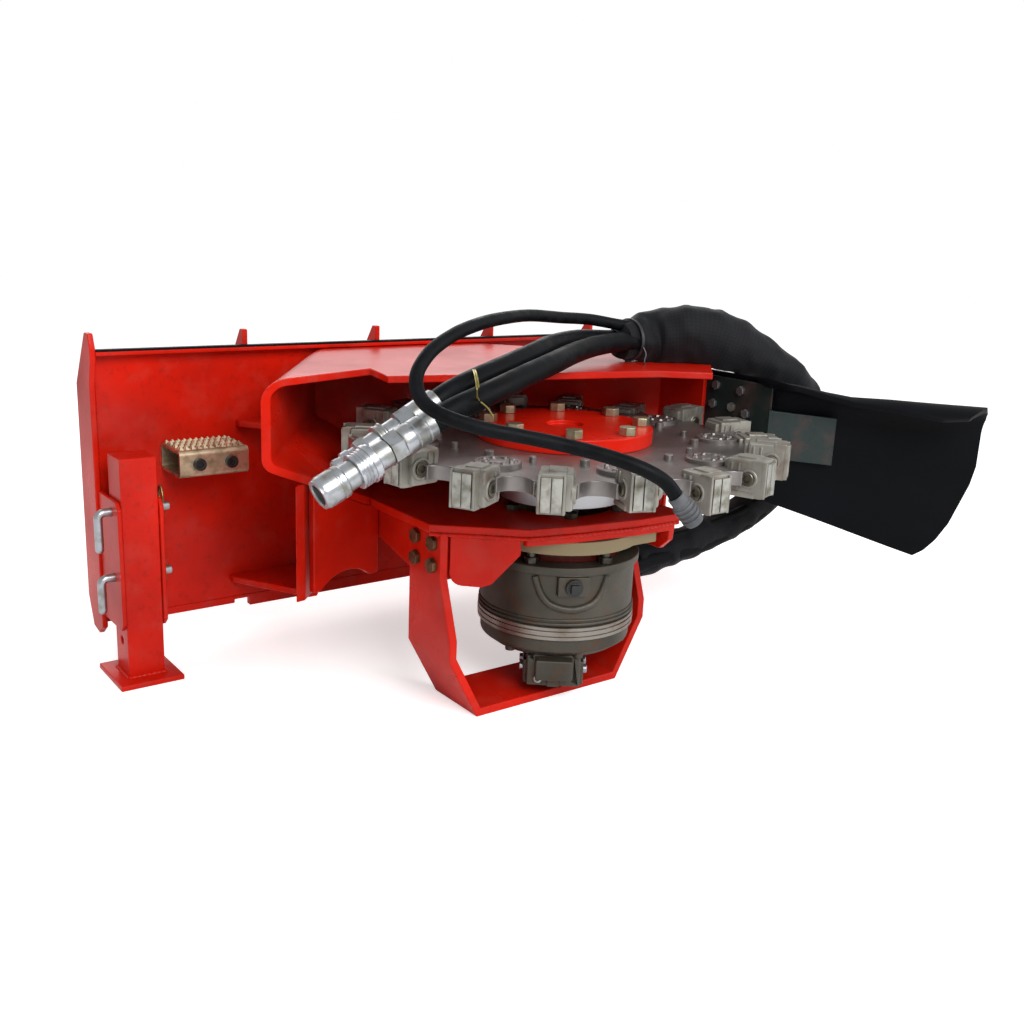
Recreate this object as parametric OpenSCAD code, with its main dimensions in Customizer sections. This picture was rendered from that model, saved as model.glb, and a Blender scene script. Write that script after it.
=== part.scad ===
// Stump grinder attachment for a compact loader, standing on its parking stand.
// Millimetres, +Z up, +Y towards the loader. The origin is on the ground under
// the cutter's axis, on the underside of the guard strap.

/* [Attach plate] */
// Width over the two end plates
plate_w = 1150; // [1050:10:1400]
// Thickness of the attach plate
plate_t = 6; // [5:1:12]
// Distance from the cutter's axis to the front of the attach plate
plate_y = 392; // [385:1:480]
// Height of the attach plate's lower edge
plate_z0 = 70; // [60:1:90]
// Height of the attach plate's upper edge
plate_z1 = 461; // [461:1:485]
// Sideways offset of the attach plate from the cutter's axis
plate_shift = 29; // [0:1:60]
// Thickness of the end plates and fins
fin_t = 8; // [6:1:9]

/* [Cutter] */
// Radius of the cutter disc
disc_r = 285; // [240:1:290]
// Thickness of the cutter disc
disc_t = 19; // [14:1:20]
// Height of the disc's underside
disc_z = 352; // [345:1:356]
// How far the teeth stand out past the disc's rim
tooth_reach = 30; // [24:1:34]
// Number of tooth blocks
tooth_count = 18; // [12:1:20]
// Radius of the red hub cover
cover_r = 125; // [110:1:140]
// Thickness of the red hub cover
cover_t = 20; // [12:1:24]

/* [Housing] */
// Height of the underside of the top sheet
top_z = 450; // [440:1:458]
// Thickness of the housing's sheets
sheet_t = 10; // [8:1:12]
// Height of the underside of the floor
floor_z = 263; // [260:1:275]
// Thickness of the floor
floor_t = 12; // [10:1:15]
// Running gap between the tooth tips and the rear wall
tip_gap = 9; // [6:1:20]

/* [Guard] */
// Width of the guard strap under the motor
strap_w = 106; // [90:1:120]
// Thickness of the guard strap
strap_t = 12; // [8:1:14]
// Diameter of the guard strap's bolts
strap_bolt_d = 12; // [10:1:14]

/* [Motor] */
// Radius of the motor's housing
motor_r = 112; // [104:1:118]
// Radius of the output shaft
shaft_r = 28; // [24:1:32]
// Radius of the mounting flange
flange_r = 141; // [136:1:150]

/* [Stand] */
// Width of the square leg
leg_w = 52; // [44:1:53]
// Thickness of the two side plates that the leg slides between
sleeve_t = 6; // [4:1:6]
// Diameter of the lock pins
pin_d = 12; // [10:1:14]

/* [Deflector] */
// Thickness of the rubber flap
flap_t = 8; // [6:1:10]
// Radius of the flap's curled upper edge
curl_r = 42; // [36:1:48]

/* [Hoses] */
// Diameter of the pressure and return hoses
hose_d = 30; // [26:1:32]
// Diameter of the drain hose
drain_d = 17; // [14:1:19]
// Diameter of the textile sleeve
wrap_d = 64; // [62:1:70]

/* [Hidden] */
$fn = 64;

red = "#c8210f";
zinc = "#c9ccd0";
steel = "#8d8a93";
cast = "#4a4743";
black = "#17181b";

run_gap = 0.05;      // radial clearance of a running fit
slip_gap = 0.3;      // clearance between loose neighbours
tip_r = disc_r + tooth_reach;
floor_top = floor_z + floor_t;
disc_top = disc_z + disc_t;
top_top = top_z + sheet_t;
plate_x0 = plate_shift - plate_w / 2 + fin_t;
plate_x1 = plate_shift + plate_w / 2 - fin_t;
plate_back = plate_y + plate_t;

// ---------- shared shapes ----------
// Sheet lying flat, from its outline in plan
module flat_sheet(outline, z, t) { translate([0, 0, z]) linear_extrude(t) polygon(outline); }
// Sheet standing along X, from its outline in Y and Z
module side_sheet(outline, x, t) { translate([x, 0, 0]) rotate([90, 0, 90]) linear_extrude(t)
    polygon(outline); }
// Profile in Y and Z drawn out along X
module bar_x(outline, x0, x1) { side_sheet(outline, x0, x1 - x0); }
// Vertical sheet from point a along direction dir, its outline in run and Z, thickness to the left
module upright(a, dir, outline, t) {
    translate([a[0], a[1], 0]) rotate([0, 0, dir]) rotate([90, 0, 0])
        translate([0, 0, -t]) linear_extrude(t) polygon(outline);
}
// Hexagon head or nut standing on z
module hex_head(across, h) { cylinder(h = h, r = across / sqrt(3), $fn = 6); }
// Bolt along +Z with its head up, head seated on z = 0
module bolt_up(d, len, across, head_h) {
    translate([0, 0, -len]) cylinder(h = len, r = d / 2);
    hex_head(across, head_h);
}
function arc(c, r, a0, a1, n) = [for (i = [0:n]) let (a = a0 + (a1 - a0) * i / n) c + r * [cos(a),
    sin(a)]];

// ---------- attach plate ----------
rail_t = 6;
rail_front = plate_y - 20;
rail_run = 30;
rail_drop = 48;
rail_top = plate_z1 + rail_t;

module attach_plate() color(red)
    translate([plate_x0, plate_y, plate_z0]) cube([plate_x1 - plate_x0, plate_t, plate_z1 - plate_z0]);

rail_k = rail_t * tan(22.5);
rail_knee = plate_y + rail_run - 20;
module hook_rail() color(red) bar_x([
    [rail_front, plate_z1], [rail_front, rail_top], [rail_knee, rail_top],
    [rail_knee + rail_drop, rail_top - rail_drop],
    [rail_knee + rail_drop - rail_t * sin(45), rail_top - rail_drop - rail_t * sin(45)],
    [rail_knee - rail_k, plate_z1]], plate_x0, plate_x1);

// Gusset fins stand on the hook rail at even fifths of the width
fin_h = 25;
fin_outline = [[rail_front + 12, rail_top], [rail_front + 12, rail_top + fin_h], [rail_knee - 6,
    rail_top + fin_h],
    [rail_knee + rail_drop - 6, rail_top - rail_drop + 6], [rail_knee, rail_top]];
module rail_fins() color(red)
    for (i = [1:4]) side_sheet(fin_outline, plate_shift - plate_w / 2 + i * (plate_w - fin_t) / 5, fin_t);

end_outline = [[plate_y - 12, rail_top + fin_h], [rail_knee - 6, rail_top + fin_h],
    [rail_knee + rail_drop - 4, rail_top - rail_drop - 4],
    [rail_knee + rail_drop - 4, plate_z0 + 24], [plate_y + 34, plate_z0 - 20], [plate_y + 8,
        plate_z0 - 24],
    [plate_y - 10, plate_z0 - 10], [plate_y - 10, plate_z1 - 40], [rail_front, plate_z1 - 6],
        [rail_front, rail_top + 6]];
module left_end_plate() color(red) side_sheet(end_outline, plate_x0 - fin_t, fin_t);
module right_end_plate() color(red) side_sheet(end_outline, plate_x1, fin_t);

// Lock slots for the loader's two wedge pins
slot_pitch = 840;
slot_w = 32;
slot_l = 66;
flange_t = 6;
flange_run = 46;
slot_y = plate_back + 22;
pad_l = 110;
module lock_flange() color(red) difference() {
    union() {
        translate([plate_x0, plate_y, plate_z0 - flange_t]) cube([plate_x1 - plate_x0,
            plate_t + flange_run, flange_t]);
        for (s = [-1, 1]) translate([plate_shift + s * slot_pitch / 2 - pad_l / 2, plate_y,
            plate_z0 - 2 * flange_t])
            cube([pad_l, plate_t + flange_run, flange_t]);
        translate([plate_shift - 340, plate_y, plate_z0 - flange_t - 14]) cube([680, 12, 14]);
    }
    for (s = [-1, 1]) translate([plate_shift + s * slot_pitch / 2, slot_y, plate_z0 - 3 * flange_t]) {
        translate([-(slot_l - slot_w) / 2, -slot_w / 2, 0]) cube([slot_l - slot_w, slot_w, 4 * flange_t]);
        for (k = [-1, 1]) translate([k * (slot_l - slot_w) / 2, 0, 0]) cylinder(h = 4 * flange_t,
            r = slot_w / 2);
    }
}

// Black edge strip laid along the rail between the fins
module rail_strip() color(black) translate([plate_x0, rail_front, rail_top])
    cube([plate_x1 - plate_x0, 10, 3]);

// ---------- housing ----------
// The left cheek runs along cheek_dir from its front corner; s is measured inwards from its outer face
cheek_a = [-423, 88];
cheek_dir = 54.4;
front_dir = 18.2;
bend_r = 26;
cheek_lip = 40;
wing_a = 35;
wing_c = [bend_r, 360];
along = [cos(cheek_dir), sin(cheek_dir)];
inward = [sin(cheek_dir), -cos(cheek_dir)];
front = [cos(front_dir), sin(front_dir)];
inner_knee = wing_c - (bend_r - sheet_t) * [sin(wing_a), cos(wing_a)];
outer_knee = wing_c - bend_r * [sin(wing_a), cos(wing_a)];
wing_s = inner_knee[0] + (inner_knee[1] - floor_top) / tan(wing_a);
function on_front(s) = cheek_a + s / (front * inward) * front;
function on_cheek(s, y) = let (p = cheek_a + s * inward) p + (y - p[1]) / along[1] * along;
// Height of the wing's underside at a distance s from the cheek's outer face
function wing_under(s) = outer_knee[1] - (s - outer_knee[0]) * tan(wing_a);

// Profile in s and Z drawn out along the cheek, cut off at the housing's front line and at the attach plate
module cheek_prism(profile) intersection() {
    translate([cheek_a[0], cheek_a[1], 0]) rotate([0, 0, cheek_dir]) rotate([90, 0, 90])
        translate([0, 0, -150]) linear_extrude(plate_y + 300) polygon([for (p = profile) [-p[0], p[1]]]);
    flat_sheet([cheek_a - 80 * front, cheek_a + 460 * front, [cheek_a[0] + 460 * front[0], plate_y],
        [cheek_a[0] - 80 * front[0], plate_y]], 0, 600);
}
// Inner face of the cheek, from its lip down round the knee to the floor
cheek_inside = concat([[cheek_lip, top_z]],
    arc([bend_r, top_top - bend_r], bend_r - sheet_t, 90, 180, 6),
    arc(wing_c, bend_r - sheet_t, 180, 270 - wing_a, 5), [[wing_s, floor_top]]);
module left_cheek() color(red) cheek_prism(concat(cheek_inside,
    [[wing_s, wing_under(wing_s)]],
    [for (p = arc(wing_c, bend_r, 270 - wing_a, 180, 5)) p],
    arc([bend_r, top_top - bend_r], bend_r, 180, 90, 6), [[cheek_lip, top_top]]));

// Rear wall: a side facet at the disc's right and a facet at 45 degrees back to the attach plate,
// trimmed to the inside of the cheek where a deep housing brings the two together
side_in = tip_r + 5;
side_out = side_in + 8;
facet_in = (tip_r + tip_gap) * sqrt(2);
facet_out = facet_in + 8 * sqrt(2);
side_y0 = 40;
module rear_wall() color(red) difference() {
    flat_sheet([[side_in, side_y0], [side_in, facet_in - side_in], [facet_in - plate_y, plate_y],
        [facet_out - plate_y, plate_y], [side_out, facet_out - side_out], [side_out, side_y0]], floor_z,
        top_z - floor_z);
    cheek_prism(concat(cheek_inside, [[wing_s, 0], [-bend_r, 0], [-bend_r, top_top], [cheek_lip,
        top_top]]));
}

module top_sheet() color(red) flat_sheet([on_front(cheek_lip), [-231, 151], [-246, 77], [-88, 41],
    [67, 8],
    [165, -15], [230, -61], [side_out, side_y0 - 2], [side_out, facet_out - side_out],
    [facet_out - plate_y, plate_y], on_cheek(cheek_lip, plate_y)], top_z, sheet_t);

floor_right = 126;
floor_left = -232;
pilot_r = 74;
floor_bolt_r = 87;
module floor_sheet() color(red) difference() {
    flat_sheet([on_front(wing_s), [floor_left, on_front(wing_s)[1] - 14], [floor_left, -12], [-130,
        -96], [-60, -112],
        [41, -127], [floor_right - 12, -130], [floor_right, -118], [floor_right, facet_in - floor_right],
        [facet_in - plate_y, plate_y], on_cheek(wing_s, plate_y)], floor_z, floor_t);
    translate([0, 0, floor_z - 1]) cylinder(h = floor_t + 2, r = pilot_r);
    ring_holes(6, floor_bolt_r, 6.5, floor_z - 1, floor_t + 2, 0);
}
module ring_holes(n, r, hole, z, h, turn) {
    for (i = [0:n - 1]) rotate([0, 0, turn + i * 360 / n]) translate([r, 0, z]) cylinder(h = h, r = hole);
}

// Skirt sheets hang under the floor and carry the guard strap
skirt_t = 10;
arm_l = -222;
arm_r = 132;
left_skirt_x = arm_l + strap_t;
right_side_x = arm_r - strap_t - skirt_t;
bolt_y = [-7, 35];
bolt_z_left = [216, 247];
bolt_z_right = [227, 251];
module bolt_holes(x0, len, zs) for (y = bolt_y, z = zs)
    translate([x0, y, z]) rotate([0, 90, 0]) cylinder(h = len, r = strap_bolt_d / 2 + 0.25);
module left_skirt() color(red) difference() {
    side_sheet([[-19.5, floor_z], [-19.5, 196], [70, 190], [172, 215], [172, floor_z]], left_skirt_x,
        skirt_t);
    bolt_holes(left_skirt_x - 1, skirt_t + 2, bolt_z_left);
}
module right_side_plate() color(red) difference() {
    side_sheet([[-116, floor_z], [-114, 232], [-96, 215], [170, 215], [plate_y, 120], [plate_y, floor_z]],
        right_side_x, skirt_t);
    bolt_holes(right_side_x - 1, skirt_t + 2, bolt_z_right);
}
nose = [[-130, -92], [-60, -108], [41, -123], [right_side_x - slip_gap, -126]];
diag_a = [left_skirt_x, -27];
diag_run = norm(nose[0] - diag_a) - 8;
diag_dir = atan2(nose[0][1] - diag_a[1], nose[0][0] - diag_a[0]);
module diagonal_skirt() color(red) upright(diag_a, diag_dir,
    concat([[1, floor_z], [1, 204]], arc([18, 208], 17, 190, 270, 5), [[44, 190], [58, 195],
        [diag_run, 238], [diag_run, floor_z]]),
    skirt_t);
nose_z = 250;
module nose_skirt() color(red)
    flat_sheet(concat(nose, [for (i = [3:-1:0]) nose[i] + [0, skirt_t]]), nose_z, floor_z - nose_z);

// Gusset under the wing, sloping down to the attach plate, and the arched web across its front
gusset_s = 34.5;
module lower_gusset() color(red) intersection() {
    cheek_prism([[gusset_s, 60], [gusset_s + sheet_t, 60], [gusset_s + sheet_t,
        wing_under(gusset_s + sheet_t)],
        [gusset_s, wing_under(gusset_s) - sheet_t * tan(wing_a)]]);
    side_sheet([[0, 175], [plate_y, plate_z0 + 24], [plate_y, 500], [0, 500]], -600, 900);
}
web_s = gusset_s + sheet_t - skirt_t * ([-front[1], front[0]] * inward);
web_a = web_s / (front * inward);
web_b = (left_skirt_x - cheek_a[0]) / front[0] - 1;
web_w = wing_s / (front * inward);
module arched_web() color(red) upright(cheek_a, front_dir, concat(
    [[web_a + 3, 158]], arc([(web_a + web_b) / 2, 96], 80, 130, 50, 8), [[web_b, 158], [web_b,
        floor_z - 0.2],
    [web_w, floor_z - 0.2], [web_a + 3, wing_under(web_s) - 2]]), skirt_t);

// Two triangular ribs between the attach plate and the cheek
rib_t = 10;
module cheek_ribs() color(red) {
    cheek_rib(0.3, 345, 85);
    cheek_rib(gusset_s - 0.2, 98, 135);
}
module cheek_rib(s, z, run) intersection() {
    flat_sheet([on_cheek(s, plate_y), on_cheek(s, plate_y - run) , on_cheek(s, plate_y - run) - [14, 0],
        [on_cheek(s, plate_y)[0] - 1.15 * run - 26, plate_y - 14], [on_cheek(s,
            plate_y)[0] - 1.15 * run - 26, plate_y]], z, rib_t);
    translate([-600, 0, 0]) cube([1200, plate_y, 600]);
}

// ---------- step ----------
step_x = -446;
step_w = 104;
step_d = 78;
step_z = 289;
step_h = 40;
module step_tread() color(zinc) difference() {
    union() {
        translate([step_x, plate_y - step_d, step_z]) cube([step_w, step_d, step_h]);
        for (i = [0:7], j = [0:5]) translate([step_x + 9 + i * 12.2, plate_y - step_d + 9 + j * 12,
            step_z + step_h])
            cylinder(h = 4, r1 = 4.5, r2 = 2);
    }
    translate([step_x - 1, plate_y - step_d + 8, step_z + 7]) cube([step_w + 2, step_d - 14,
        step_h - 14]);
    for (x = [28, 76]) translate([step_x + x, plate_y - step_d - 1, step_z + 20]) rotate([-90, 0, 0])
        cylinder(h = step_d + 2, r = 5.5);
}
module step_bolts() color(black) for (x = [28, 76]) translate([step_x + x, plate_y - step_d,
    step_z + 20]) difference() {
    union() {
        rotate([90, 0, 0]) cylinder(h = 8, r = 9);
        translate([0, step_d - 0.2, 0]) rotate([90, 0, 0]) cylinder(h = step_d - 0.2, r = 5);
    }
    translate([0, -9, 0]) rotate([-90, 0, 0]) cylinder(h = 6, r = 5, $fn = 6);
}

// ---------- parking stand ----------
leg_x = -510;
leg_y = 326;
leg_gap = 0.4;
sleeve_w = leg_w + 2 * leg_gap + 2 * sleeve_t;
sleeve_z0 = 79;
sleeve_z1 = 268;
leg_top = 329;
foot_t = 8;
pin_z = [154, 250];
module square_tube(w, wall, z0, z1) difference() {
    translate([leg_x - w / 2, leg_y - w / 2, z0]) cube([w, w, z1 - z0]);
    translate([leg_x - w / 2 + wall, leg_y - w / 2 + wall, z0 - 1]) cube([w - 2 * wall, w - 2 * wall,
        z1 - z0 + 2]);
}
module pin_holes(len, zs) for (z = zs) translate([leg_x - len / 2, leg_y, z]) rotate([0, 90, 0])
    cylinder(h = len, r = pin_d / 2 + run_gap);
module stand_sleeve() color(red) difference() {
    for (x = [leg_x - sleeve_w / 2, leg_x + sleeve_w / 2 - sleeve_t]) side_sheet([
        [leg_y - leg_w / 2 - 4, sleeve_z0 + 10], [leg_y - leg_w / 2 + 6, sleeve_z0], [sleeve_back(x),
            sleeve_z0],
        [sleeve_back(x), sleeve_z1], [leg_y - leg_w / 2 + 6, sleeve_z1], [leg_y - leg_w / 2 - 4,
            sleeve_z1 - 10]],
        x, sleeve_t);
    pin_holes(sleeve_w + 10, pin_z);
}
// The left side plate stops at the end plate's front edge, the right one at the attach plate
function sleeve_back(x) = x < plate_x0 ? plate_y - 10 - slip_gap : plate_y;
module stand_leg() color(red) {
    difference() {
        square_tube(leg_w, 5, foot_t, leg_top);
        pin_holes(leg_w + 10, concat(pin_z, [58]));
    }
    translate([leg_x - leg_w / 2 + 5, leg_y - leg_w / 2 + 5, leg_top - 6]) cube([leg_w - 10,
        leg_w - 10, 6]);
}
module stand_foot() color(red) translate([leg_x - 45.5, leg_y - 51.5, 0]) cube([91, 103, foot_t]);

pin_left = leg_x - sleeve_w / 2 - 18;
pin_right = leg_x + sleeve_w / 2 + 17;
clip_x = leg_x + sleeve_w / 2 + 9;
clip_d = 4;
clip_bow = 9;
module lock_pin(z, drop) color(zinc) difference() {
    union() {
        translate([pin_left + 8, leg_y, z]) rotate([0, 90, 0]) cylinder(h = pin_right - pin_left - 8,
            r = pin_d / 2);
        translate([pin_left + 8, leg_y, z - 8]) rotate([90, 0, 0]) rotate([0, 0, 90])
            rotate_extrude(angle = 90) translate([8, 0]) circle(r = pin_d / 2);
        translate([pin_left, leg_y, z - drop]) cylinder(h = drop - 8, r = pin_d / 2);
        translate([pin_left, leg_y, z - drop]) sphere(r = pin_d / 2);
    }
    translate([clip_x, leg_y, z - pin_d]) cylinder(h = 2 * pin_d, r = clip_d / 2 + run_gap);
}
module spring_clip(z) color("#b08a3c") translate([clip_x, leg_y, z]) {
    translate([0, 0, -16]) cylinder(h = 34, r = clip_d / 2);
    translate([0, clip_bow, 18]) rotate([0, 90, 0]) rotate([0, 0, 90])
        rotate_extrude(angle = 180) translate([clip_bow, 0]) circle(r = clip_d / 2);
    translate([0, 2 * clip_bow, -8]) cylinder(h = 26, r = clip_d / 2);
}
module upper_lock_pin() lock_pin(pin_z[1], 52);
module lower_lock_pin() lock_pin(pin_z[0], 46);
module upper_clip() spring_clip(pin_z[1]);
module lower_clip() spring_clip(pin_z[0]);

// ---------- guard strap ----------
strap_x0 = -173;
strap_x1 = 83;
strap_knee = 91;
strap_top = floor_z - slip_gap;
strap_profile = [[arm_l, strap_top], [arm_l, strap_knee], [strap_x0, 0], [strap_x1, 0], [arm_r,
    strap_knee],
    [arm_r, strap_top], [arm_r - strap_t, strap_top], [arm_r - strap_t, strap_knee + 3],
        [strap_x1 - 6, strap_t],
    [strap_x0 + 6, strap_t], [arm_l + strap_t, strap_knee + 3], [arm_l + strap_t, strap_top]];
module guard_strap() color(red) difference() {
    translate([0, strap_w / 2, 0]) rotate([90, 0, 0]) linear_extrude(strap_w) polygon(strap_profile);
    side_sheet([[-strap_w, 120], [-strap_w / 2, 120], [-strap_w / 2 + 28, 200],
        [-strap_w / 2 + 28, 300], [-strap_w, 300]], -300, 600);
    bolt_holes(arm_l - 1, strap_t + 2, bolt_z_left);
    bolt_holes(arm_r - strap_t - 1, strap_t + 2, bolt_z_right);
}
module guard_bolts() color("#8f7b4a") {
    for (y = bolt_y, z = bolt_z_left) {
        translate([arm_l, y, z]) rotate([0, -90, 0]) bolt_up(strap_bolt_d, strap_t + skirt_t + 12, 19, 7);
        translate([left_skirt_x + skirt_t, y, z]) rotate([0, 90, 0]) nut(19, 9, strap_bolt_d);
    }
    for (y = bolt_y, z = bolt_z_right)
        translate([arm_r, y, z]) rotate([0, 90, 0]) bolt_up(strap_bolt_d, strap_t + skirt_t, 19, 7);
}
module nut(across, h, d) difference() {
    hex_head(across, h);
    translate([0, 0, -1]) cylinder(h = h + 2, r = d / 2 + 0.01);
}

// ---------- motor ----------
flange_z = 229;
spigot_z = 248;
ring_z = 212;
collar_bottom = 200;
housing_z = 124;
band_z = 104;
cap_z = 73;
block_z = 22;
stud_r = 104;
collar_r = 118;
ring_r = 92;
bearing_r = 52;
rotor_r = 74;
rotor_z = 128;
rotor_h = 40;
// Round flange with two ears on the right that stop short of the side plate
module mounting_flange() color("#8a7a52") difference() {
    union() {
        translate([0, 0, flange_z]) cylinder(h = spigot_z - flange_z, r = 116);
        translate([0, 0, spigot_z]) cylinder(h = floor_z - spigot_z, r = 98);
        intersection() {
            translate([0, 0, flange_z]) cylinder(h = spigot_z - flange_z, r = flange_r);
            translate([30, -104, flange_z]) cube([right_side_x - slip_gap - 30, 208,
                spigot_z - flange_z]);
        }
    }
    translate([right_side_x - slip_gap, -200, flange_z - 1]) cube([100, 400, 60]);
    translate([0, 0, flange_z - 1]) cylinder(h = 60, r = pilot_r);
    ring_holes(6, floor_bolt_r, 6.5, flange_z - 1, 60, 0);
    ring_holes(6, stud_r, 6.2, flange_z - 1, 21, 30);
}
module spacer_ring() color("#5a1f1c") difference() {
    translate([0, 0, ring_z]) cylinder(h = flange_z - ring_z, r = ring_r);
    translate([0, 0, ring_z - 1]) cylinder(h = 40, r = pilot_r);
}
module motor_bolts() color(cast) {
    for (i = [0:5]) rotate([0, 0, 30 + i * 60]) translate([stud_r, 0, 0]) {
        translate([0, 0, collar_bottom + 2]) cylinder(h = spigot_z - collar_bottom - 2, r = 6);
        translate([0, 0, ring_z]) nut(18, 9, 12);
    }
    for (i = [0:5]) rotate([0, 0, i * 60]) translate([floor_bolt_r, 0, floor_top]) bolt_up(12,
        floor_top - flange_z, 18, 8);
}
plug_turn = -118;
module motor_housing() color(cast) difference() {
    union() {
        translate([0, 0, housing_z]) cylinder(h = collar_bottom - housing_z, r = motor_r);
        translate([0, 0, collar_bottom]) cylinder(h = ring_z - collar_bottom, r = collar_r);
        rotate([0, 0, plug_turn]) translate([motor_r - 12, -22, 172]) cube([22, 44, collar_bottom - 172]);
    }
    translate([0, 0, housing_z - 1]) cylinder(h = rotor_h + 9, r = rotor_r + 1);
    translate([0, 0, housing_z]) cylinder(h = collar_bottom - housing_z, r = bearing_r);
    translate([0, 0, collar_bottom]) cylinder(h = 30, r = bearing_r - 8);
    ring_holes(6, stud_r, 6.2, collar_bottom + 2, 20, 30);
    rotate([0, 0, plug_turn]) translate([motor_r - 5, 0, 186]) rotate([0, 90, 0]) cylinder(h = 40,
        r = 9.2);
    rotate([0, 0, drain_turn]) translate([motor_r - 8, 0, drain_z]) rotate([0, 90, 0])
        cylinder(h = 40, r = drain_d / 2 + 2.2);
}
module motor_band() color("#6b5f45") difference() {
    translate([0, 0, band_z]) cylinder(h = housing_z - band_z, r = motor_r + 3);
    translate([0, 0, band_z - 1]) cylinder(h = 40, r = rotor_r + 1);
}
module motor_end_cap() color(cast) difference() {
    union() {
        translate([0, 0, cap_z + 12]) cylinder(h = band_z - cap_z - 12, r = motor_r - 2);
        translate([0, 0, cap_z]) cylinder(h = 12, r1 = motor_r - 18, r2 = motor_r - 2);
    }
    translate([0, 0, cap_z + 14]) cylinder(h = 40, r = shaft_r + 14);
}
block_turn = -128;
module port_block() color(cast) rotate([0, 0, block_turn]) difference() {
    union() {
        translate([-62, -38, block_z + 6]) cube([156, 76, cap_z - block_z - 6]);
        translate([20, -44, block_z]) cube([52, 88, 36]);
        translate([74, -26, cap_z - 30]) cube([38, 52, 30 - 0.2]);
    }
    translate([46, 0, block_z - 1]) cylinder(h = 8, r = 9);
}
port_z = 47;
port_gap = 38;
port_d = 34;
exit_dir = unit([0.93, 0.12, 0.35]);
drain_turn = 40;
drain_z = 150;
// Each port: how far its elbow stands behind the block's axis, and its side of the block
ports = [[112, 1], [150, -1]];
module aim(d) { rotate([0, acos(d[2]), atan2(d[1], d[0])]) children(); }
module port_fittings() color(zinc) {
    for (p = ports) rotate([0, 0, block_turn]) translate([0, p[1] * port_gap / 2, port_z]) {
        translate([-74, 0, 0]) rotate([0, 90, 0]) cylinder(h = 12, r = 20, $fn = 6);
        translate([-p[0], 0, 0]) rotate([0, 90, 0]) cylinder(h = p[0] - 70, r = port_d / 2 - 1);
        translate([-p[0], 0, 0]) sphere(r = port_d / 2);
        translate([-p[0], 0, 0]) rotate([0, 0, -block_turn]) aim(exit_dir) cylinder(h = 30,
            r = port_d / 2 - 0.5);
    }
    rotate([0, 0, drain_turn]) translate([motor_r - 7, 0, drain_z]) rotate([0, 90, 0]) {
        cylinder(h = 33, r = drain_d / 2 + 2);
        translate([0, 0, 9]) cylinder(h = 8, r = 15, $fn = 6);
    }
}
module case_plug() color(black) rotate([0, 0, plug_turn]) translate([motor_r - 4, 0, 186]) rotate([0,
    90, 0]) {
    cylinder(h = 14, r = 9);
    translate([0, 0, 14]) cylinder(h = 5, r = 12);
    translate([-6, -6, 19]) cube([12, 12, 7]);
}
module shaft_bearings() color("#a9adb3") {
    for (z = [172, 88]) translate([0, 0, z]) difference() {
        cylinder(h = z > 100 ? 26 : 14, r = z > 100 ? bearing_r - 0.02 : shaft_r + 13.98);
        translate([0, 0, -1]) cylinder(h = 40, r = shaft_r + run_gap);
    }
}
module shaft_seal() color(black) translate([0, 0, collar_bottom]) difference() {
    cylinder(h = 12, r = bearing_r - 8.02);
    translate([0, 0, -1]) cylinder(h = 20, r = shaft_r + run_gap);
}
module output_shaft() color(steel) translate([0, 0, 88]) cylinder(h = disc_z - 88, r = shaft_r);
module motor_rotor() color(steel) difference() {
    translate([0, 0, rotor_z]) cylinder(h = rotor_h, r = rotor_r);
    translate([0, 0, rotor_z - 1]) cylinder(h = rotor_h + 2, r = shaft_r);
    for (i = [0:6]) rotate([0, 0, i * 360 / 7]) translate([rotor_r - 22, 0, rotor_z - 1])
        cylinder(h = rotor_h + 2, r = 11);
}

// ---------- cutter ----------
hub_bolt_r = cover_r - 16;
neck_r = 92;
tooth_pitch = 360 / tooth_count;
tooth_phase = -131;
block_w = 44;
block_in = disc_r - 27;
block_h = 50;
module drive_hub() color(steel) difference() {
    union() {
        translate([0, 0, disc_z - 18]) cylinder(h = 18, r = cover_r);
        translate([0, 0, floor_top + 14]) cylinder(h = disc_z - 18 - floor_top - 14, r = neck_r);
    }
    translate([0, 0, floor_top]) cylinder(h = disc_z, r = shaft_r);
    ring_holes(8, hub_bolt_r, 7.2, disc_z - 19, 20, 12);
}
module cutter_disc() color(steel) difference() {
    translate([0, 0, disc_z]) cylinder(h = disc_t, r = disc_r, $fn = 180);
    ring_holes(8, hub_bolt_r, 7.2, disc_z - 1, disc_t + 2, 12);
    for (i = [0:tooth_count - 1]) rotate([0, 0, tooth_phase + (i + 0.5) * tooth_pitch])
        translate([disc_r + 8, 0, disc_z - 1]) cylinder(h = disc_t + 2, r = 24);
}
module hub_cover() color(red) difference() {
    translate([0, 0, disc_top]) cylinder(h = cover_t, r = cover_r);
    ring_holes(8, hub_bolt_r, 7.2, disc_top - 1, cover_t + 2, 12);
    translate([0, 0, disc_top + cover_t - 6]) cylinder(h = 8, r = 26);
}
module hub_bolts() color(zinc) for (i = [0:7]) rotate([0, 0, 12 + i * 45])
    translate([hub_bolt_r, 0, disc_top + cover_t]) bolt_up(14, cover_t + disc_t + 16, 22, 12);

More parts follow.
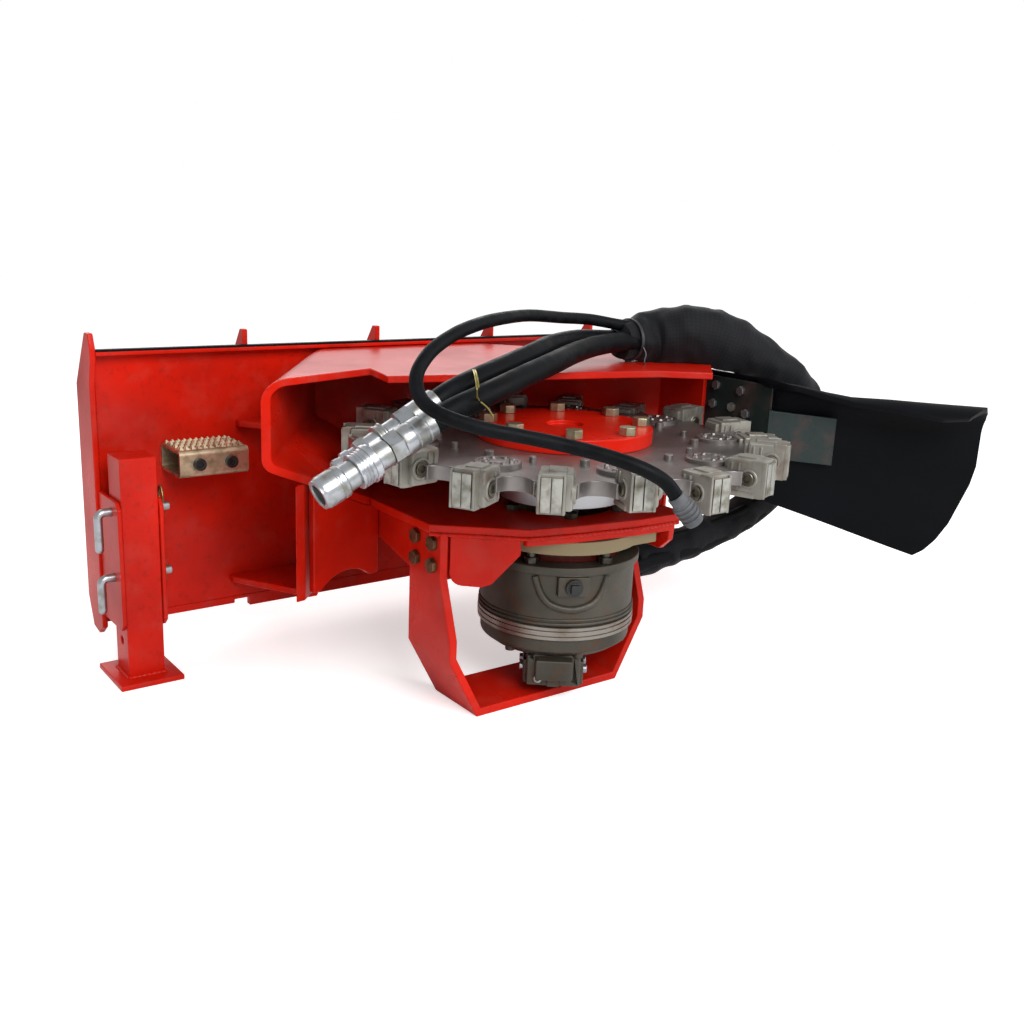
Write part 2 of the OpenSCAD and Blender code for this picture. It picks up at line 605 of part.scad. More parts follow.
// Tooth blocks straddle the rim; every third one sits higher and every third one lower
function tooth_lift(i) = [0, 5, -5][i % 3];
function block_z0(i) = disc_z + disc_t / 2 - block_h / 2 + tooth_lift(i);
module on_tooth(i) rotate([0, 0, tooth_phase + i * tooth_pitch]) translate([0, 0, block_z0(i)])
    children();
module tooth_blocks() color("#7d7a6c") difference() {
    for (i = [0:tooth_count - 1]) on_tooth(i) difference() {
        translate([block_in, -block_w / 2, 0]) cube([tip_r - 6 - block_in, block_w, block_h]);
        for (z = [-1, block_h + 1]) translate([block_in - 8, 0, z]) rotate([0, 45, 0]) cube([16,
            block_w + 2, 16], center = true);
        translate([block_in + 26, -block_w / 2 - 1, block_h / 2]) rotate([-90, 0, 0])
            cylinder(h = block_w + 2, r = 7.2);
    }
    translate([0, 0, disc_z]) cylinder(h = disc_t, r = disc_r + 0.2, $fn = 180);
}
module carbide_tips() color("#9b9a92") for (i = [0:tooth_count - 1]) on_tooth(i)
    translate([tip_r - 6, -block_w / 2 + 4, 5]) cube([6, block_w - 18, block_h - 10]);
module tooth_bolts() color("#6f6a5c") for (i = [0:tooth_count - 1]) on_tooth(i)
    translate([block_in + 38, block_w / 2, block_h / 2]) rotate([-90, 0, 0]) cylinder(h = 4, r = 9);
module wear_buttons() color(steel) for (i = [0:2:tooth_count - 1]) rotate([0, 0,
    tooth_phase + (i + 1) * tooth_pitch])
    translate([disc_r - 62, 0, disc_top]) cylinder(h = 6, r = 30);

// ---------- deflector ----------
brk_t = 6;
brk_x = side_out;
brk_z0 = 332;
brk_z1 = 440;
elbow = [brk_x + brk_t, -94];
wing_dir = -36.3;
flap_l = 330;
module deflector_bracket() color("#2c3234") difference() {
    union() {
        translate([brk_x, elbow[1], brk_z0]) cube([brk_t, 190, brk_z1 - brk_z0]);
        upright([brk_x + 0.01, elbow[1]], wing_dir, [[0, brk_z0 - 4], [104, brk_z0 - 12], [104,
            brk_z1 - 46], [0, brk_z1 - 38]], brk_t);
    }
    for (p = flap_bolts) translate([brk_x - 1, p[0], p[1]]) rotate([0, 90, 0])
        cylinder(h = brk_t + 2, r = 4.3);
}
flap_bolts = [[18, 426], [22, 396], [-18, 396], [-34, 424], [-48, 390]];
module deflector_bolts() color(zinc) for (p = flap_bolts) translate([brk_x - 0.01, p[0], p[1]])
    rotate([0, -90, 0]) {
    translate([0, 0, -brk_t - flap_t - 2]) cylinder(h = brk_t + flap_t + 2, r = 4);
    hex_head(13, 6);
    translate([0, 0, -brk_t - flap_t - 6.5]) nut(13, 6, 8);
}
flap_z0 = 178;
curl_z = 384;
// Rubber sheet: a straight stretch behind the bracket, then a wing whose upper edge curls over
module deflector_flap() color(black) {
    difference() {
        side_sheet([[elbow[1] + 6, 250], [elbow[1] + 6, 436], [86, 448], [86, 300], [20, 262]],
            brk_x + brk_t, flap_t);
        for (p = flap_bolts) translate([brk_x, p[0], p[1]]) rotate([0, 90, 0]) cylinder(h = 40, r = 4.3);
    }
    translate([elbow[0], elbow[1], 0]) rotate([0, 0, wing_dir]) intersection() {
        rotate([90, 0, 90]) linear_extrude(flap_l) polygon(concat(
            [[brk_t + 2, flap_z0]], arc([brk_t + 2 - curl_r, curl_z], curl_r, 0, 140, 12),
            arc([brk_t + 2 - curl_r, curl_z], curl_r + flap_t, 140, 0, 12), [[brk_t + 2 + flap_t,
                flap_z0]]));
        rotate([90, 0, 0]) translate([0, 0, -100]) linear_extrude(240) polygon([[0.2, 262], [150,
            216], [236, 182],
            [262, 186], [285, 206], [flap_l - 2, 300], [flap_l, 380], [flap_l - 4, 412],
                [flap_l - 22, 428],
            [150, 440], [0.2, 446]]);
    }
}

// ---------- hoses ----------
// Regular ring of n points round p, square to direction d; ref is a direction that the path never takes
function unit(v) = v / norm(v);
function ring(p, d, r, n, ref) = let (a = unit(cross(d, ref)), b = cross(a, d))
    [for (i = [0:n - 1]) p + r * (cos(i * 360 / n) * a + sin(i * 360 / n) * b)];
function heading(path, i) = unit(path[min(i + 1, len(path) - 1)] - path[max(i - 1, 0)]);
// Catmull-Rom point on a list of hand-chosen points
function spline(q, i, t) = let (a = q[max(i - 1, 0)], b = q[i], c = q[i + 1], d = q[min(i + 2,
    len(q) - 1)])
    0.5 * (2 * b + t * (c - a) + t * t * (2 * a - 5 * b + 4 * c - d) + t * t * t * (3 * b - a - 3 * c + d));
function smooth(q, k) = concat([for (i = [0:len(q) - 2], j = [0:k - 1]) spline(q, i, j / k)],
    [q[len(q) - 1]]);
// Tube along a path; radii holds one radius for each ring
module swept(path, radii, n, ref) {
    m = len(path);
    polyhedron(points = [for (i = [0:m - 1]) each ring(path[i], heading(path, i), radii[i], n, ref)],
        faces = concat([[for (i = [0:n - 1]) i]], [[for (i = [n - 1:-1:0]) (m - 1) * n + i]],
            [for (k = [0:m - 2], i = [0:n - 1]) [k * n + i, (k + 1) * n + i, (k + 1) * n + (i + 1) % n]],
            [for (k = [0:m - 2], i = [0:n - 1]) [k * n + i, (k + 1) * n + (i + 1) % n,
                k * n + (i + 1) % n]]));
}
module tube(path, d, n) swept(path, [for (p = path) d / 2], n, [0, 0, 1]);
// Sleeve's middle line, from its mouth over the top sheet to its lower end, with its swell at each point
wrap_path = [[170, 84, 494], [205, 84, 495], [243, 80, 498], [300, 38, 503], [348, 4, 488], [390,
    -24, 464],
    [430, -43, 435], [462, -48, 396], [480, -40, 350], [482, -22, 300], [470, 0, 250], [440, 26, 205],
    [392, 50, 172], [345, 62, 153], [295, 74, 140], [236, 84, 126]];
wrap_swell = [0, 0, 2, 6, 5, 3, 2, 1, 0, 0, -1, -2, -2, -2, -2, -2];
pressure_path = [[170, 69, 494], [95, 47, 493], [18, 9, 489], [-60, -40, 484], [-120, -70, 477],
    [-178, -92, 467],
    [-226, -104, 456], [-262, -106, 445], [-299, -106, 428]];
pressure_tail = [[105.3, 133.5, 57.5], [138, 134, 70], [172, 124, 92], [205, 109, 113], [238.6, 99.1,
    126]];
return_path = [[170, 99, 494], [90, 90, 497], [0, 40, 497], [-60, 0, 493], [-143, -40, 482], [-202,
    -60, 471],
    [-238, -66, 460], [-264, -66, 447]];
return_tail = [[112, 80.2, 57.5], [142, 82, 70], [172, 79, 92], [202, 74, 113], [233.4, 68.9, 126]];
drain_path = [[170, 84, 518], [110, 86, 527], [37, 66, 533], [-50, 28, 541], [-130, -18, 543], [-190,
    -50, 540],
    [-245, -76, 531], [-291, -96, 514], [-318, -110, 490], [-325, -130, 467], [-316, -160, 452],
        [-285, -194, 440],
    [-245, -222, 432], [-207, -250, 424], [-176, -286, 416], [-149, -318, 405], [-126, -333, 390],
        [-112, -339, 372]];
drain_tail = [[105.7, 88.7, 150], [130, 107, 151], [160, 115, 151], [195, 104, 149], [231, 85, 148]];
module hose_sleeve() color(black) swept(wrap_path, [for (w = wrap_swell) wrap_d / 2 + w], 12, [0, 1, 0]);
module pressure_hose() color(black) {
    tube(smooth(pressure_path, 2), hose_d, 10);
    tube(pressure_tail, hose_d, 10);
}
module return_hose() color(black) {
    tube(smooth(return_path, 2), hose_d, 10);
    tube(return_tail, hose_d, 10);
}
module drain_hose() color(black) {
    tube(drain_path, drain_d, 8);
    tube(drain_tail, drain_d, 8);
}
function last(path) = path[len(path) - 1];
function end_dir(path, k) = let (q = smooth(path, k)) heading(q, len(q) - 1);
// Ribbed dust cap on the drain hose's end
module drain_cap() color("#54565a") translate(last(drain_path)) aim(end_dir(drain_path, 1)) {
    cylinder(h = 8, r = drain_d / 2 + 2);
    translate([0, 0, 8]) cylinder(h = 32, r = drain_d / 2 + 3);
    for (z = [12:6:34]) translate([0, 0, z]) cylinder(h = 3, r = drain_d / 2 + 4.5);
}

// Female coupler with a sliding release collar on the pressure hose, male coupler on the return hose
ferrule_l = 42;
body_r = 17;
collar_z = 80;
collar_l = 28;
collar_travel = 8;
module quick_couplers() color(zinc) {
    translate(last(pressure_path)) aim(end_dir(pressure_path, 2)) difference() {
        union() {
            cylinder(h = ferrule_l, r = hose_d / 2 + 3.5);
            translate([0, 0, ferrule_l]) cylinder(h = 18, r = 21, $fn = 6);
            translate([0, 0, ferrule_l + 18]) cylinder(h = 66, r = body_r);
            translate([0, 0, 124]) cylinder(h = 34, r = body_r + 3);
        }
        translate([0, 0, 120]) cylinder(h = 40, r = 12.5);
    }
    translate(last(return_path)) aim(end_dir(return_path, 2)) {
        cylinder(h = ferrule_l - 2, r = hose_d / 2 + 3);
        translate([0, 0, ferrule_l - 2]) cylinder(h = 18, r = 20, $fn = 6);
        translate([0, 0, 56]) cylinder(h = 50, r = 14);
        translate([0, 0, 76]) cylinder(h = 12, r = 19);
        translate([0, 0, 104]) cylinder(h = 14, r = 18, $fn = 6);
        translate([0, 0, 118]) cylinder(h = 34, r = 12);
        translate([0, 0, 128]) cylinder(h = 10, r = 14);
    }
}
module release_collar() color("#dfe2e5") translate(last(pressure_path)) aim(end_dir(pressure_path,
    2)) difference() {
    union() {
        translate([0, 0, collar_z]) cylinder(h = collar_l, r = 22);
        translate([0, 0, collar_z + 4]) cylinder(h = 6, r = 24);
    }
    translate([0, 0, collar_z - 1]) cylinder(h = collar_l + 2, r = body_r + run_gap);
}

attach_plate();
hook_rail();
rail_fins();
left_end_plate();
right_end_plate();
lock_flange();
rail_strip();
top_sheet();
left_cheek();
rear_wall();
floor_sheet();
left_skirt();
diagonal_skirt();
nose_skirt();
right_side_plate();
lower_gusset();
arched_web();
cheek_ribs();
step_tread();
step_bolts();
stand_sleeve();
stand_leg();
stand_foot();
upper_lock_pin();
lower_lock_pin();
upper_clip();
lower_clip();
guard_strap();
guard_bolts();
mounting_flange();
spacer_ring();
motor_bolts();
motor_housing();
motor_band();
motor_end_cap();
port_block();
port_fittings();
case_plug();
shaft_bearings();
shaft_seal();
output_shaft();
motor_rotor();
drive_hub();
cutter_disc();
hub_cover();
hub_bolts();
tooth_blocks();
carbide_tips();
tooth_bolts();
wear_buttons();
deflector_bracket();
deflector_bolts();
deflector_flap();
hose_sleeve();
pressure_hose();
return_hose();
drain_hose();
drain_cap();
quick_couplers();
release_collar();
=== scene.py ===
"""Looks of the stump grinder attachment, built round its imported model."""
import math

import bmesh
import bpy
from mathutils import Matrix, Vector, noise


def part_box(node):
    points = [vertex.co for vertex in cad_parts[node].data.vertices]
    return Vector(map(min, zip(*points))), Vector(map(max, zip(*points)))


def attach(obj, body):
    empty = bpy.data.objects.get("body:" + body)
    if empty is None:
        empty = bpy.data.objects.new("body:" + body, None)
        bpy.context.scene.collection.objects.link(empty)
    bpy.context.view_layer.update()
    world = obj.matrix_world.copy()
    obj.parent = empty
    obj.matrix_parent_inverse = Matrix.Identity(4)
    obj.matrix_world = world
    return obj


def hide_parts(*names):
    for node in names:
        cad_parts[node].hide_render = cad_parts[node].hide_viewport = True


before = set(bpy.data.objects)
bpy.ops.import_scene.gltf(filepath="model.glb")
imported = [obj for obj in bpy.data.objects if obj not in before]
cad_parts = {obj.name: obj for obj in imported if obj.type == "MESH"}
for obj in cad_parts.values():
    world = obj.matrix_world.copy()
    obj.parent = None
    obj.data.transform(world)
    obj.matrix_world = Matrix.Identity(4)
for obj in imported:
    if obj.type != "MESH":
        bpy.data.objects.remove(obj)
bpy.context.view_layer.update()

bl_info = {
    "name": "Stump Grinder Looks",
    "version": (1, 0, 0),
    "blender": (4, 5, 0),
    "location": "3D View > Sidebar > Grinder",
    "description": "Builds the hoses, paint, castings and rubber of a stump grinder attachment",
    "category": "Object",
}

MM = 0.001
SEED = Vector((3.1, 7.7, 1.9))          # offset of every noise lookup

# Hose routes, in millimetres, as the model has them
WRAP = [(170, 84, 494), (205, 84, 495), (243, 80, 498), (300, 38, 503), (348, 4, 488), (390, -24, 464),
        (430, -43, 435), (462, -48, 396), (480, -40, 350), (482, -22, 300), (470, 0, 250), (440, 26, 205),
        (392, 50, 172), (345, 62, 153), (295, 74, 140), (236, 84, 126)]
WRAP_SWELL = [-2, 1, 13, 15, 9, 4, 2, 1, 0, 0, -1, -2, -2, -2, -2, -2]
PRESSURE = [(170, 69, 494), (95, 47, 493), (18, 9, 489), (-60, -40, 484), (-120, -70, 477), (-178, -92, 467),
            (-226, -104, 456), (-262, -106, 445), (-299, -106, 428)]
PRESSURE_TAIL = [(105.3, 133.5, 57.5), (138, 134, 70), (172, 124, 92), (205, 109, 113), (238.6, 99.1, 126)]
RETURN = [(170, 99, 494), (90, 90, 497), (0, 40, 497), (-60, 0, 493), (-143, -40, 482), (-202, -60, 471),
          (-238, -66, 460), (-264, -66, 447)]
RETURN_TAIL = [(112, 80.2, 57.5), (142, 82, 70), (172, 79, 92), (202, 74, 113), (233.4, 68.9, 126)]
DRAIN = [(170, 84, 518), (110, 86, 527), (37, 66, 533), (-50, 28, 541), (-130, -18, 543), (-190, -50, 540),
         (-245, -76, 531), (-291, -96, 514), (-318, -110, 490), (-325, -130, 467), (-316, -160, 452),
         (-285, -194, 440), (-245, -222, 432), (-207, -250, 424), (-176, -286, 416), (-149, -318, 405),
         (-126, -333, 390), (-112, -339, 372)]
DRAIN_TAIL = [(105.7, 88.7, 150), (130, 107, 151), (160, 115, 151), (195, 104, 149), (231, 85, 148)]
PAIR_REACH = 15.3                       # from the bundle's middle to each large hose's middle, in millimetres
DRAIN_REACH = 22.0                      # and to the drain hose's middle


def metres(points):
    """Vectors in metres from points in millimetres."""
    return [Vector(p) * MM for p in points]


def linear(code):
    """Linear colour of an sRGB hex value such as #C8210F, with alpha 1."""
    parts = [int(code[i:i + 2], 16) / 255 for i in (1, 3, 5)]
    return tuple(c / 12.92 if c <= 0.04045 else ((c + 0.055) / 1.055) ** 2.4 for c in parts) + (1.0,)


# ---------- sizes and colours ----------
class GrinderSizes(bpy.types.PropertyGroup):
    """Sizes that the looks add to the model"""
    edge_round: bpy.props.FloatProperty(
        name="Edge rounding", description="Radius of a cut sheet's painted edge",
        default=1.6 * MM, min=0.2 * MM, max=3 * MM, unit="LENGTH")
    hose: bpy.props.FloatProperty(
        name="Hose", description="Outer diameter of the pressure and return hoses",
        default=30 * MM, min=20 * MM, max=40 * MM, unit="LENGTH")
    drain: bpy.props.FloatProperty(
        name="Drain hose", description="Outer diameter of the drain hose",
        default=17 * MM, min=10 * MM, max=22 * MM, unit="LENGTH")
    sleeve: bpy.props.FloatProperty(
        name="Sleeve", description="Diameter of the textile sleeve",
        default=64 * MM, min=60 * MM, max=80 * MM, unit="LENGTH")
    weld: bpy.props.FloatProperty(
        name="Weld", description="Width of a fillet weld",
        default=6 * MM, min=3 * MM, max=9 * MM, unit="LENGTH")


class GrinderColours(bpy.types.PropertyGroup):
    """Colours of the paint, rubber and metals"""
    paint: bpy.props.FloatVectorProperty(
        name="Paint", description="Powder coat of the frame",
        subtype="COLOR", size=4, default=linear("#CF1B08"), min=0, max=1)
    cover: bpy.props.FloatVectorProperty(
        name="Hub cover", description="Paint of the hub cover",
        subtype="COLOR", size=4, default=linear("#D81E0A"), min=0, max=1)
    rubber: bpy.props.FloatVectorProperty(
        name="Rubber", description="Sheet rubber of the flap",
        subtype="COLOR", size=4, default=linear("#060709"), min=0, max=1)
    cloth: bpy.props.FloatVectorProperty(
        name="Sleeve cloth", description="Woven nylon of the sleeve",
        subtype="COLOR", size=4, default=linear("#06070A"), min=0, max=1)


# ---------- materials ----------
SHARE, FIRST, SECOND, MIXED = 0, 6, 7, 2      # sockets of a Mix node that is set to colours


def add(tree, kind, inputs=None, **settings):
    """Adds a node, sets its settings, and gives each input a value or a link."""
    made = tree.nodes.new(kind)
    for name, value in settings.items():
        setattr(made, name, value)
    for socket, value in (inputs or {}).items():
        if isinstance(value, bpy.types.NodeSocket):
            tree.links.new(value, made.inputs[socket])
        else:
            made.inputs[socket].default_value = value
    return made


def per_mm(size):
    """Texture scale whose features are about this many millimetres apart."""
    return 1000.0 / size


def fresh(name):
    """New material and its cleared tree, or the one already made."""
    if name in bpy.data.materials:
        return bpy.data.materials[name], None
    material = bpy.data.materials.new(name)
    material.use_nodes = True
    material.node_tree.nodes.clear()
    return material, material.node_tree


def shade(tree, inputs):
    """Principled surface with those inputs, joined to the output."""
    surface = add(tree, "ShaderNodeBsdfPrincipled", inputs)
    add(tree, "ShaderNodeOutputMaterial", {"Surface": surface.outputs[0]})


def speckle(tree, where, size, low, high, detail=4.0):
    """Noise of that grain in millimetres, stretched so that low to high fills 0 to 1."""
    grain = add(tree, "ShaderNodeTexNoise", {"Vector": where, "Scale": per_mm(size), "Detail": detail})
    spread = add(tree, "ShaderNodeMapRange", {"Value": grain.outputs[0], "From Min": low, "From Max": high})
    return spread.outputs[0]


def powder_coat(name, colour, dusty=0.25):
    """Polyester powder coat on steel: glossy, faint orange peel, thin and dark along rubbed edges."""
    material, tree = fresh(name)
    if tree is None:
        return material
    place = add(tree, "ShaderNodeTexCoord").outputs["Object"]
    shadow = tuple(c * 0.62 for c in colour[:3]) + (1.0,)
    cloudy = speckle(tree, place, 160, 0.35, 0.68)
    tone = add(tree, "ShaderNodeMix", {SHARE: cloudy, FIRST: colour, SECOND: shadow},
               data_type="RGBA").outputs[MIXED]
    rubbed = add(tree, "ShaderNodeNewGeometry").outputs["Pointiness"]
    worn = add(tree, "ShaderNodeMapRange", {"Value": rubbed, "From Min": 0.53, "From Max": 0.62})
    patchy = add(tree, "ShaderNodeMath",
                 {0: worn.outputs[0], 1: speckle(tree, place, 9, 0.55, 0.7)}, operation="MULTIPLY")
    tone = add(tree, "ShaderNodeMix",
               {SHARE: patchy.outputs[0], FIRST: tone, SECOND: linear("#4A1109")},
               data_type="RGBA").outputs[MIXED]
    dust = add(tree, "ShaderNodeMath",
               {0: speckle(tree, place, 34, 0.5, 0.86, 8.0), 1: dusty}, operation="MULTIPLY")
    tone = add(tree, "ShaderNodeMix",
               {SHARE: dust.outputs[0], FIRST: tone, SECOND: linear("#A8564A")},
               data_type="RGBA").outputs[MIXED]
    peel = add(tree, "ShaderNodeTexNoise", {"Vector": place, "Scale": per_mm(3.5), "Detail": 2.0})
    bump = add(tree, "ShaderNodeBump", {"Strength": 0.05, "Distance": 0.6 * MM, "Height": peel.outputs[0]})
    sheen = add(tree, "ShaderNodeMapRange", {"Value": cloudy, "To Min": 0.26, "To Max": 0.4})
    shade(tree, {"Base Color": tone, "Roughness": sheen.outputs[0], "Normal": bump.outputs[0],
                 "Specular IOR Level": 0.16, "Coat Weight": 0.04, "Coat Roughness": 0.1})
    return material


def zinc_plate(name, colour, dull="#8D8A80", rough=0.3):
    """Zinc plate on turned steel: bright, cloudy from handling, with fine turning marks."""
    material, tree = fresh(name)
    if tree is None:
        return material
    place = add(tree, "ShaderNodeTexCoord").outputs["Object"]
    cloudy = speckle(tree, place, 14, 0.42, 0.72)
    tone = add(tree, "ShaderNodeMix", {SHARE: cloudy, FIRST: linear(colour), SECOND: linear(dull)},
               data_type="RGBA").outputs[MIXED]
    marks = add(tree, "ShaderNodeTexNoise", {"Vector": place, "Scale": per_mm(1.2), "Detail": 3.0})
    bump = add(tree, "ShaderNodeBump", {"Strength": 0.08, "Distance": 0.3 * MM, "Height": marks.outputs[0]})
    gloss = add(tree, "ShaderNodeMapRange", {"Value": cloudy, "To Min": rough, "To Max": rough + 0.18})
    shade(tree, {"Base Color": tone, "Metallic": 0.95, "Roughness": gloss.outputs[0],
                 "Normal": bump.outputs[0]})
    return material


def cast_iron(name, colour, rust=0.5):
    """Sand-cast iron: dark, pitted by the mould, with brown rust in patches."""
    material, tree = fresh(name)
    if tree is None:
        return material
    place = add(tree, "ShaderNodeTexCoord").outputs["Object"]
    pits = add(tree, "ShaderNodeTexNoise",
               {"Vector": place, "Scale": per_mm(2.6), "Detail": 5.0, "Roughness": 0.6})
    deep = tuple(c * 0.55 for c in linear(colour)[:3]) + (1.0,)
    tone = add(tree, "ShaderNodeMix",
               {SHARE: speckle(tree, place, 60, 0.3, 0.7), FIRST: linear(colour), SECOND: deep},
               data_type="RGBA").outputs[MIXED]
    rusty = add(tree, "ShaderNodeMath",
                {0: speckle(tree, place, 26, 0.52, 0.7, 8.0), 1: rust}, operation="MULTIPLY")
    tone = add(tree, "ShaderNodeMix",
               {SHARE: rusty.outputs[0], FIRST: tone, SECOND: linear("#5A3A20")},
               data_type="RGBA").outputs[MIXED]
    bump = add(tree, "ShaderNodeBump", {"Strength": 0.3, "Distance": 0.7 * MM, "Height": pits.outputs[0]})
    gloss = add(tree, "ShaderNodeMapRange", {"Value": pits.outputs[0], "To Min": 0.35, "To Max": 0.62})
    shade(tree, {"Base Color": tone, "Metallic": 0.55, "Roughness": gloss.outputs[0],
                 "Normal": bump.outputs[0]})
    return material


def machined_steel(name, colour, stain="#6B5A3C", stained=0.4, rough=0.32):
    """Turned steel with an oil film: even grey with brown stains and fine scratches."""
    material, tree = fresh(name)
    if tree is None:
        return material
    place = add(tree, "ShaderNodeTexCoord").outputs["Object"]
    squash = add(tree, "ShaderNodeMapping", {"Vector": place, "Scale": (1.0, 1.0, 9.0)})
    lines = add(tree, "ShaderNodeTexNoise", {"Vector": squash.outputs[0], "Scale": per_mm(5), "Detail": 4.0})
    amount = add(tree, "ShaderNodeMath",
                 {0: speckle(tree, place, 45, 0.45, 0.7, 6.0), 1: stained}, operation="MULTIPLY")
    tone = add(tree, "ShaderNodeMix",
               {SHARE: amount.outputs[0], FIRST: linear(colour), SECOND: linear(stain)},
               data_type="RGBA").outputs[MIXED]
    bump = add(tree, "ShaderNodeBump", {"Strength": 0.1, "Distance": 0.3 * MM, "Height": lines.outputs[0]})
    gloss = add(tree, "ShaderNodeMapRange",
                {"Value": lines.outputs[0], "To Min": rough - 0.08, "To Max": rough + 0.16})
    shade(tree, {"Base Color": tone, "Metallic": 0.85, "Roughness": gloss.outputs[0],
                 "Normal": bump.outputs[0]})
    return material


def sheet_rubber(name, colour):
    """Skived conveyor rubber: near black with a blue-grey bloom, dust and long faint waves."""
    material, tree = fresh(name)
    if tree is None:
        return material
    place = add(tree, "ShaderNodeTexCoord").outputs["Object"]
    bloom = speckle(tree, place, 120, 0.4, 0.75, 5.0)
    tone = add(tree, "ShaderNodeMix", {SHARE: bloom, FIRST: colour, SECOND: linear("#0B0C11")},
               data_type="RGBA").outputs[MIXED]
    grain = add(tree, "ShaderNodeTexNoise", {"Vector": place, "Scale": per_mm(4), "Detail": 6.0})
    bump = add(tree, "ShaderNodeBump", {"Strength": 0.12, "Distance": 0.5 * MM, "Height": grain.outputs[0]})
    gloss = add(tree, "ShaderNodeMapRange", {"Value": bloom, "To Min": 0.42, "To Max": 0.6})
    shade(tree, {"Base Color": tone, "Roughness": gloss.outputs[0], "Normal": bump.outputs[0],
                 "Specular IOR Level": 0.06})
    return material


def hose_rubber(name):
    """Wrapped synthetic rubber hose cover: the curing tape leaves a fine slanted weave on it."""
    material, tree = fresh(name)
    if tree is None:
        return material
    lay = add(tree, "ShaderNodeUVMap", uv_map="lay").outputs[0]
    slanted = add(tree, "ShaderNodeMapping", {"Vector": lay, "Rotation": (0.0, 0.0, math.radians(52))})
    tape = add(tree, "ShaderNodeTexWave",
               {"Vector": slanted.outputs[0], "Scale": per_mm(9), "Distortion": 0.4})
    place = add(tree, "ShaderNodeTexCoord").outputs["Object"]
    dull = speckle(tree, place, 22, 0.4, 0.7)
    tone = add(tree, "ShaderNodeMix",
               {SHARE: dull, FIRST: linear("#07080A"), SECOND: linear("#101216")},
               data_type="RGBA").outputs[MIXED]
    bump = add(tree, "ShaderNodeBump",
               {"Strength": 0.18, "Distance": 0.4 * MM, "Height": tape.outputs["Fac"]})
    gloss = add(tree, "ShaderNodeMapRange", {"Value": dull, "To Min": 0.42, "To Max": 0.62})
    shade(tree, {"Base Color": tone, "Roughness": gloss.outputs[0], "Normal": bump.outputs[0],
                 "Specular IOR Level": 0.1})
    return material


def woven_nylon(name, colour):
    """Ballistic nylon sleeve: a plain weave, drawn at 3 mm where the real threads are about 1 mm."""
    material, tree = fresh(name)
    if tree is None:
        return material
    lay = add(tree, "ShaderNodeUVMap", uv_map="lay").outputs[0]
    warp = add(tree, "ShaderNodeTexWave", {"Vector": lay, "Scale": per_mm(3) / 6.3}, bands_direction="X")
    weft = add(tree, "ShaderNodeTexWave", {"Vector": lay, "Scale": per_mm(3) / 6.3}, bands_direction="Y")
    weave = add(tree, "ShaderNodeMath", {0: warp.outputs["Fac"], 1: weft.outputs["Fac"]},
                operation="MULTIPLY")
    tone = add(tree, "ShaderNodeMix",
               {SHARE: weave.outputs[0], FIRST: colour, SECOND: linear("#10121A")},
               data_type="RGBA").outputs[MIXED]
    bump = add(tree, "ShaderNodeBump", {"Strength": 0.3, "Distance": 0.5 * MM, "Height": weave.outputs[0]})
    shade(tree, {"Base Color": tone, "Roughness": 0.75, "Normal": bump.outputs[0],
                 "Specular IOR Level": 0.25, "Sheen Weight": 0.12, "Sheen Roughness": 0.4})
    return material


def moulded_plastic(name, colour, rough=0.5):
    """Injection-moulded nylon: even colour with a fine spark-eroded grain."""
    material, tree = fresh(name)
    if tree is None:
        return material
    place = add(tree, "ShaderNodeTexCoord").outputs["Object"]
    tone = add(tree, "ShaderNodeMix",
               {SHARE: speckle(tree, place, 18, 0.4, 0.8), FIRST: linear(colour), SECOND: linear("#3A3B3F")},
               data_type="RGBA").outputs[MIXED]
    grain = add(tree, "ShaderNodeTexNoise", {"Vector": place, "Scale": per_mm(1), "Detail": 2.0})
    bump = add(tree, "ShaderNodeBump", {"Strength": 0.1, "Distance": 0.2 * MM, "Height": grain.outputs[0]})
    shade(tree, {"Base Color": tone, "Roughness": rough, "Normal": bump.outputs[0]})
    return material


def paint_material():
    return powder_coat("red_powder_coat", tuple(bpy.context.scene.grinder_colours.paint))


def cover_material():
    return powder_coat("hub_cover_paint", tuple(bpy.context.scene.grinder_colours.cover), dusty=0.1)


def zinc_material():
    return zinc_plate("bright_zinc_plate", "#B2B6BB")


def yellow_zinc_material():
    return zinc_plate("yellow_zinc_plate", "#B49A63", "#6E5F42", 0.34)


def oxide_material():
    return zinc_plate("black_oxide", "#1C1C1E", "#101011", 0.38)


def disc_material():
    return machined_steel("disc_steel_plate", "#8A8583", "#5E564C", 0.5, 0.34)


def tooth_material():
    return cast_iron("tooth_casting", "#A09D94", 0.5)


def show(name, bm, material, body="frame", nodes=(), smooth=38, weighted=True):
    """Makes a finished piece of a bmesh: its shading, material, body, and the nodes that it stands for."""
    mesh = bpy.data.meshes.new(name)
    bm.to_mesh(mesh)
    bm.free()
    mesh.polygons.foreach_set("use_smooth", [True] * len(mesh.polygons))
    mesh.set_sharp_from_angle(angle=math.radians(smooth))
    mesh.materials.append(material)
    piece = bpy.data.objects.new(name, mesh)
    bpy.context.scene.collection.objects.link(piece)
    if weighted:
        normals = piece.modifiers.new("Weighted normals", "WEIGHTED_NORMAL")
        normals.keep_sharp = True
    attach(piece, body)
    if nodes:
        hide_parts(*nodes)
    return piece


def copy_of(node):
    """Merged copy of a node's mesh, its flat faces joined."""
    bm = bmesh.new()
    bm.from_mesh(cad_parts[node].data)
    bmesh.ops.remove_doubles(bm, verts=bm.verts, dist=0.004 * MM)
    bmesh.ops.dissolve_limit(bm, angle_limit=math.radians(0.6), verts=bm.verts, edges=bm.edges)
    return bm


CHEEK_CORNER = Vector((-423, 88, 0)) * MM
CHEEK_TURN = math.radians(54.4)
CHEEK_INWARD = Vector((math.sin(CHEEK_TURN), -math.cos(CHEEK_TURN), 0))
SEAMS = [40.0, 119.5]       # the cheek's welded edges, in millimetres from its outer face


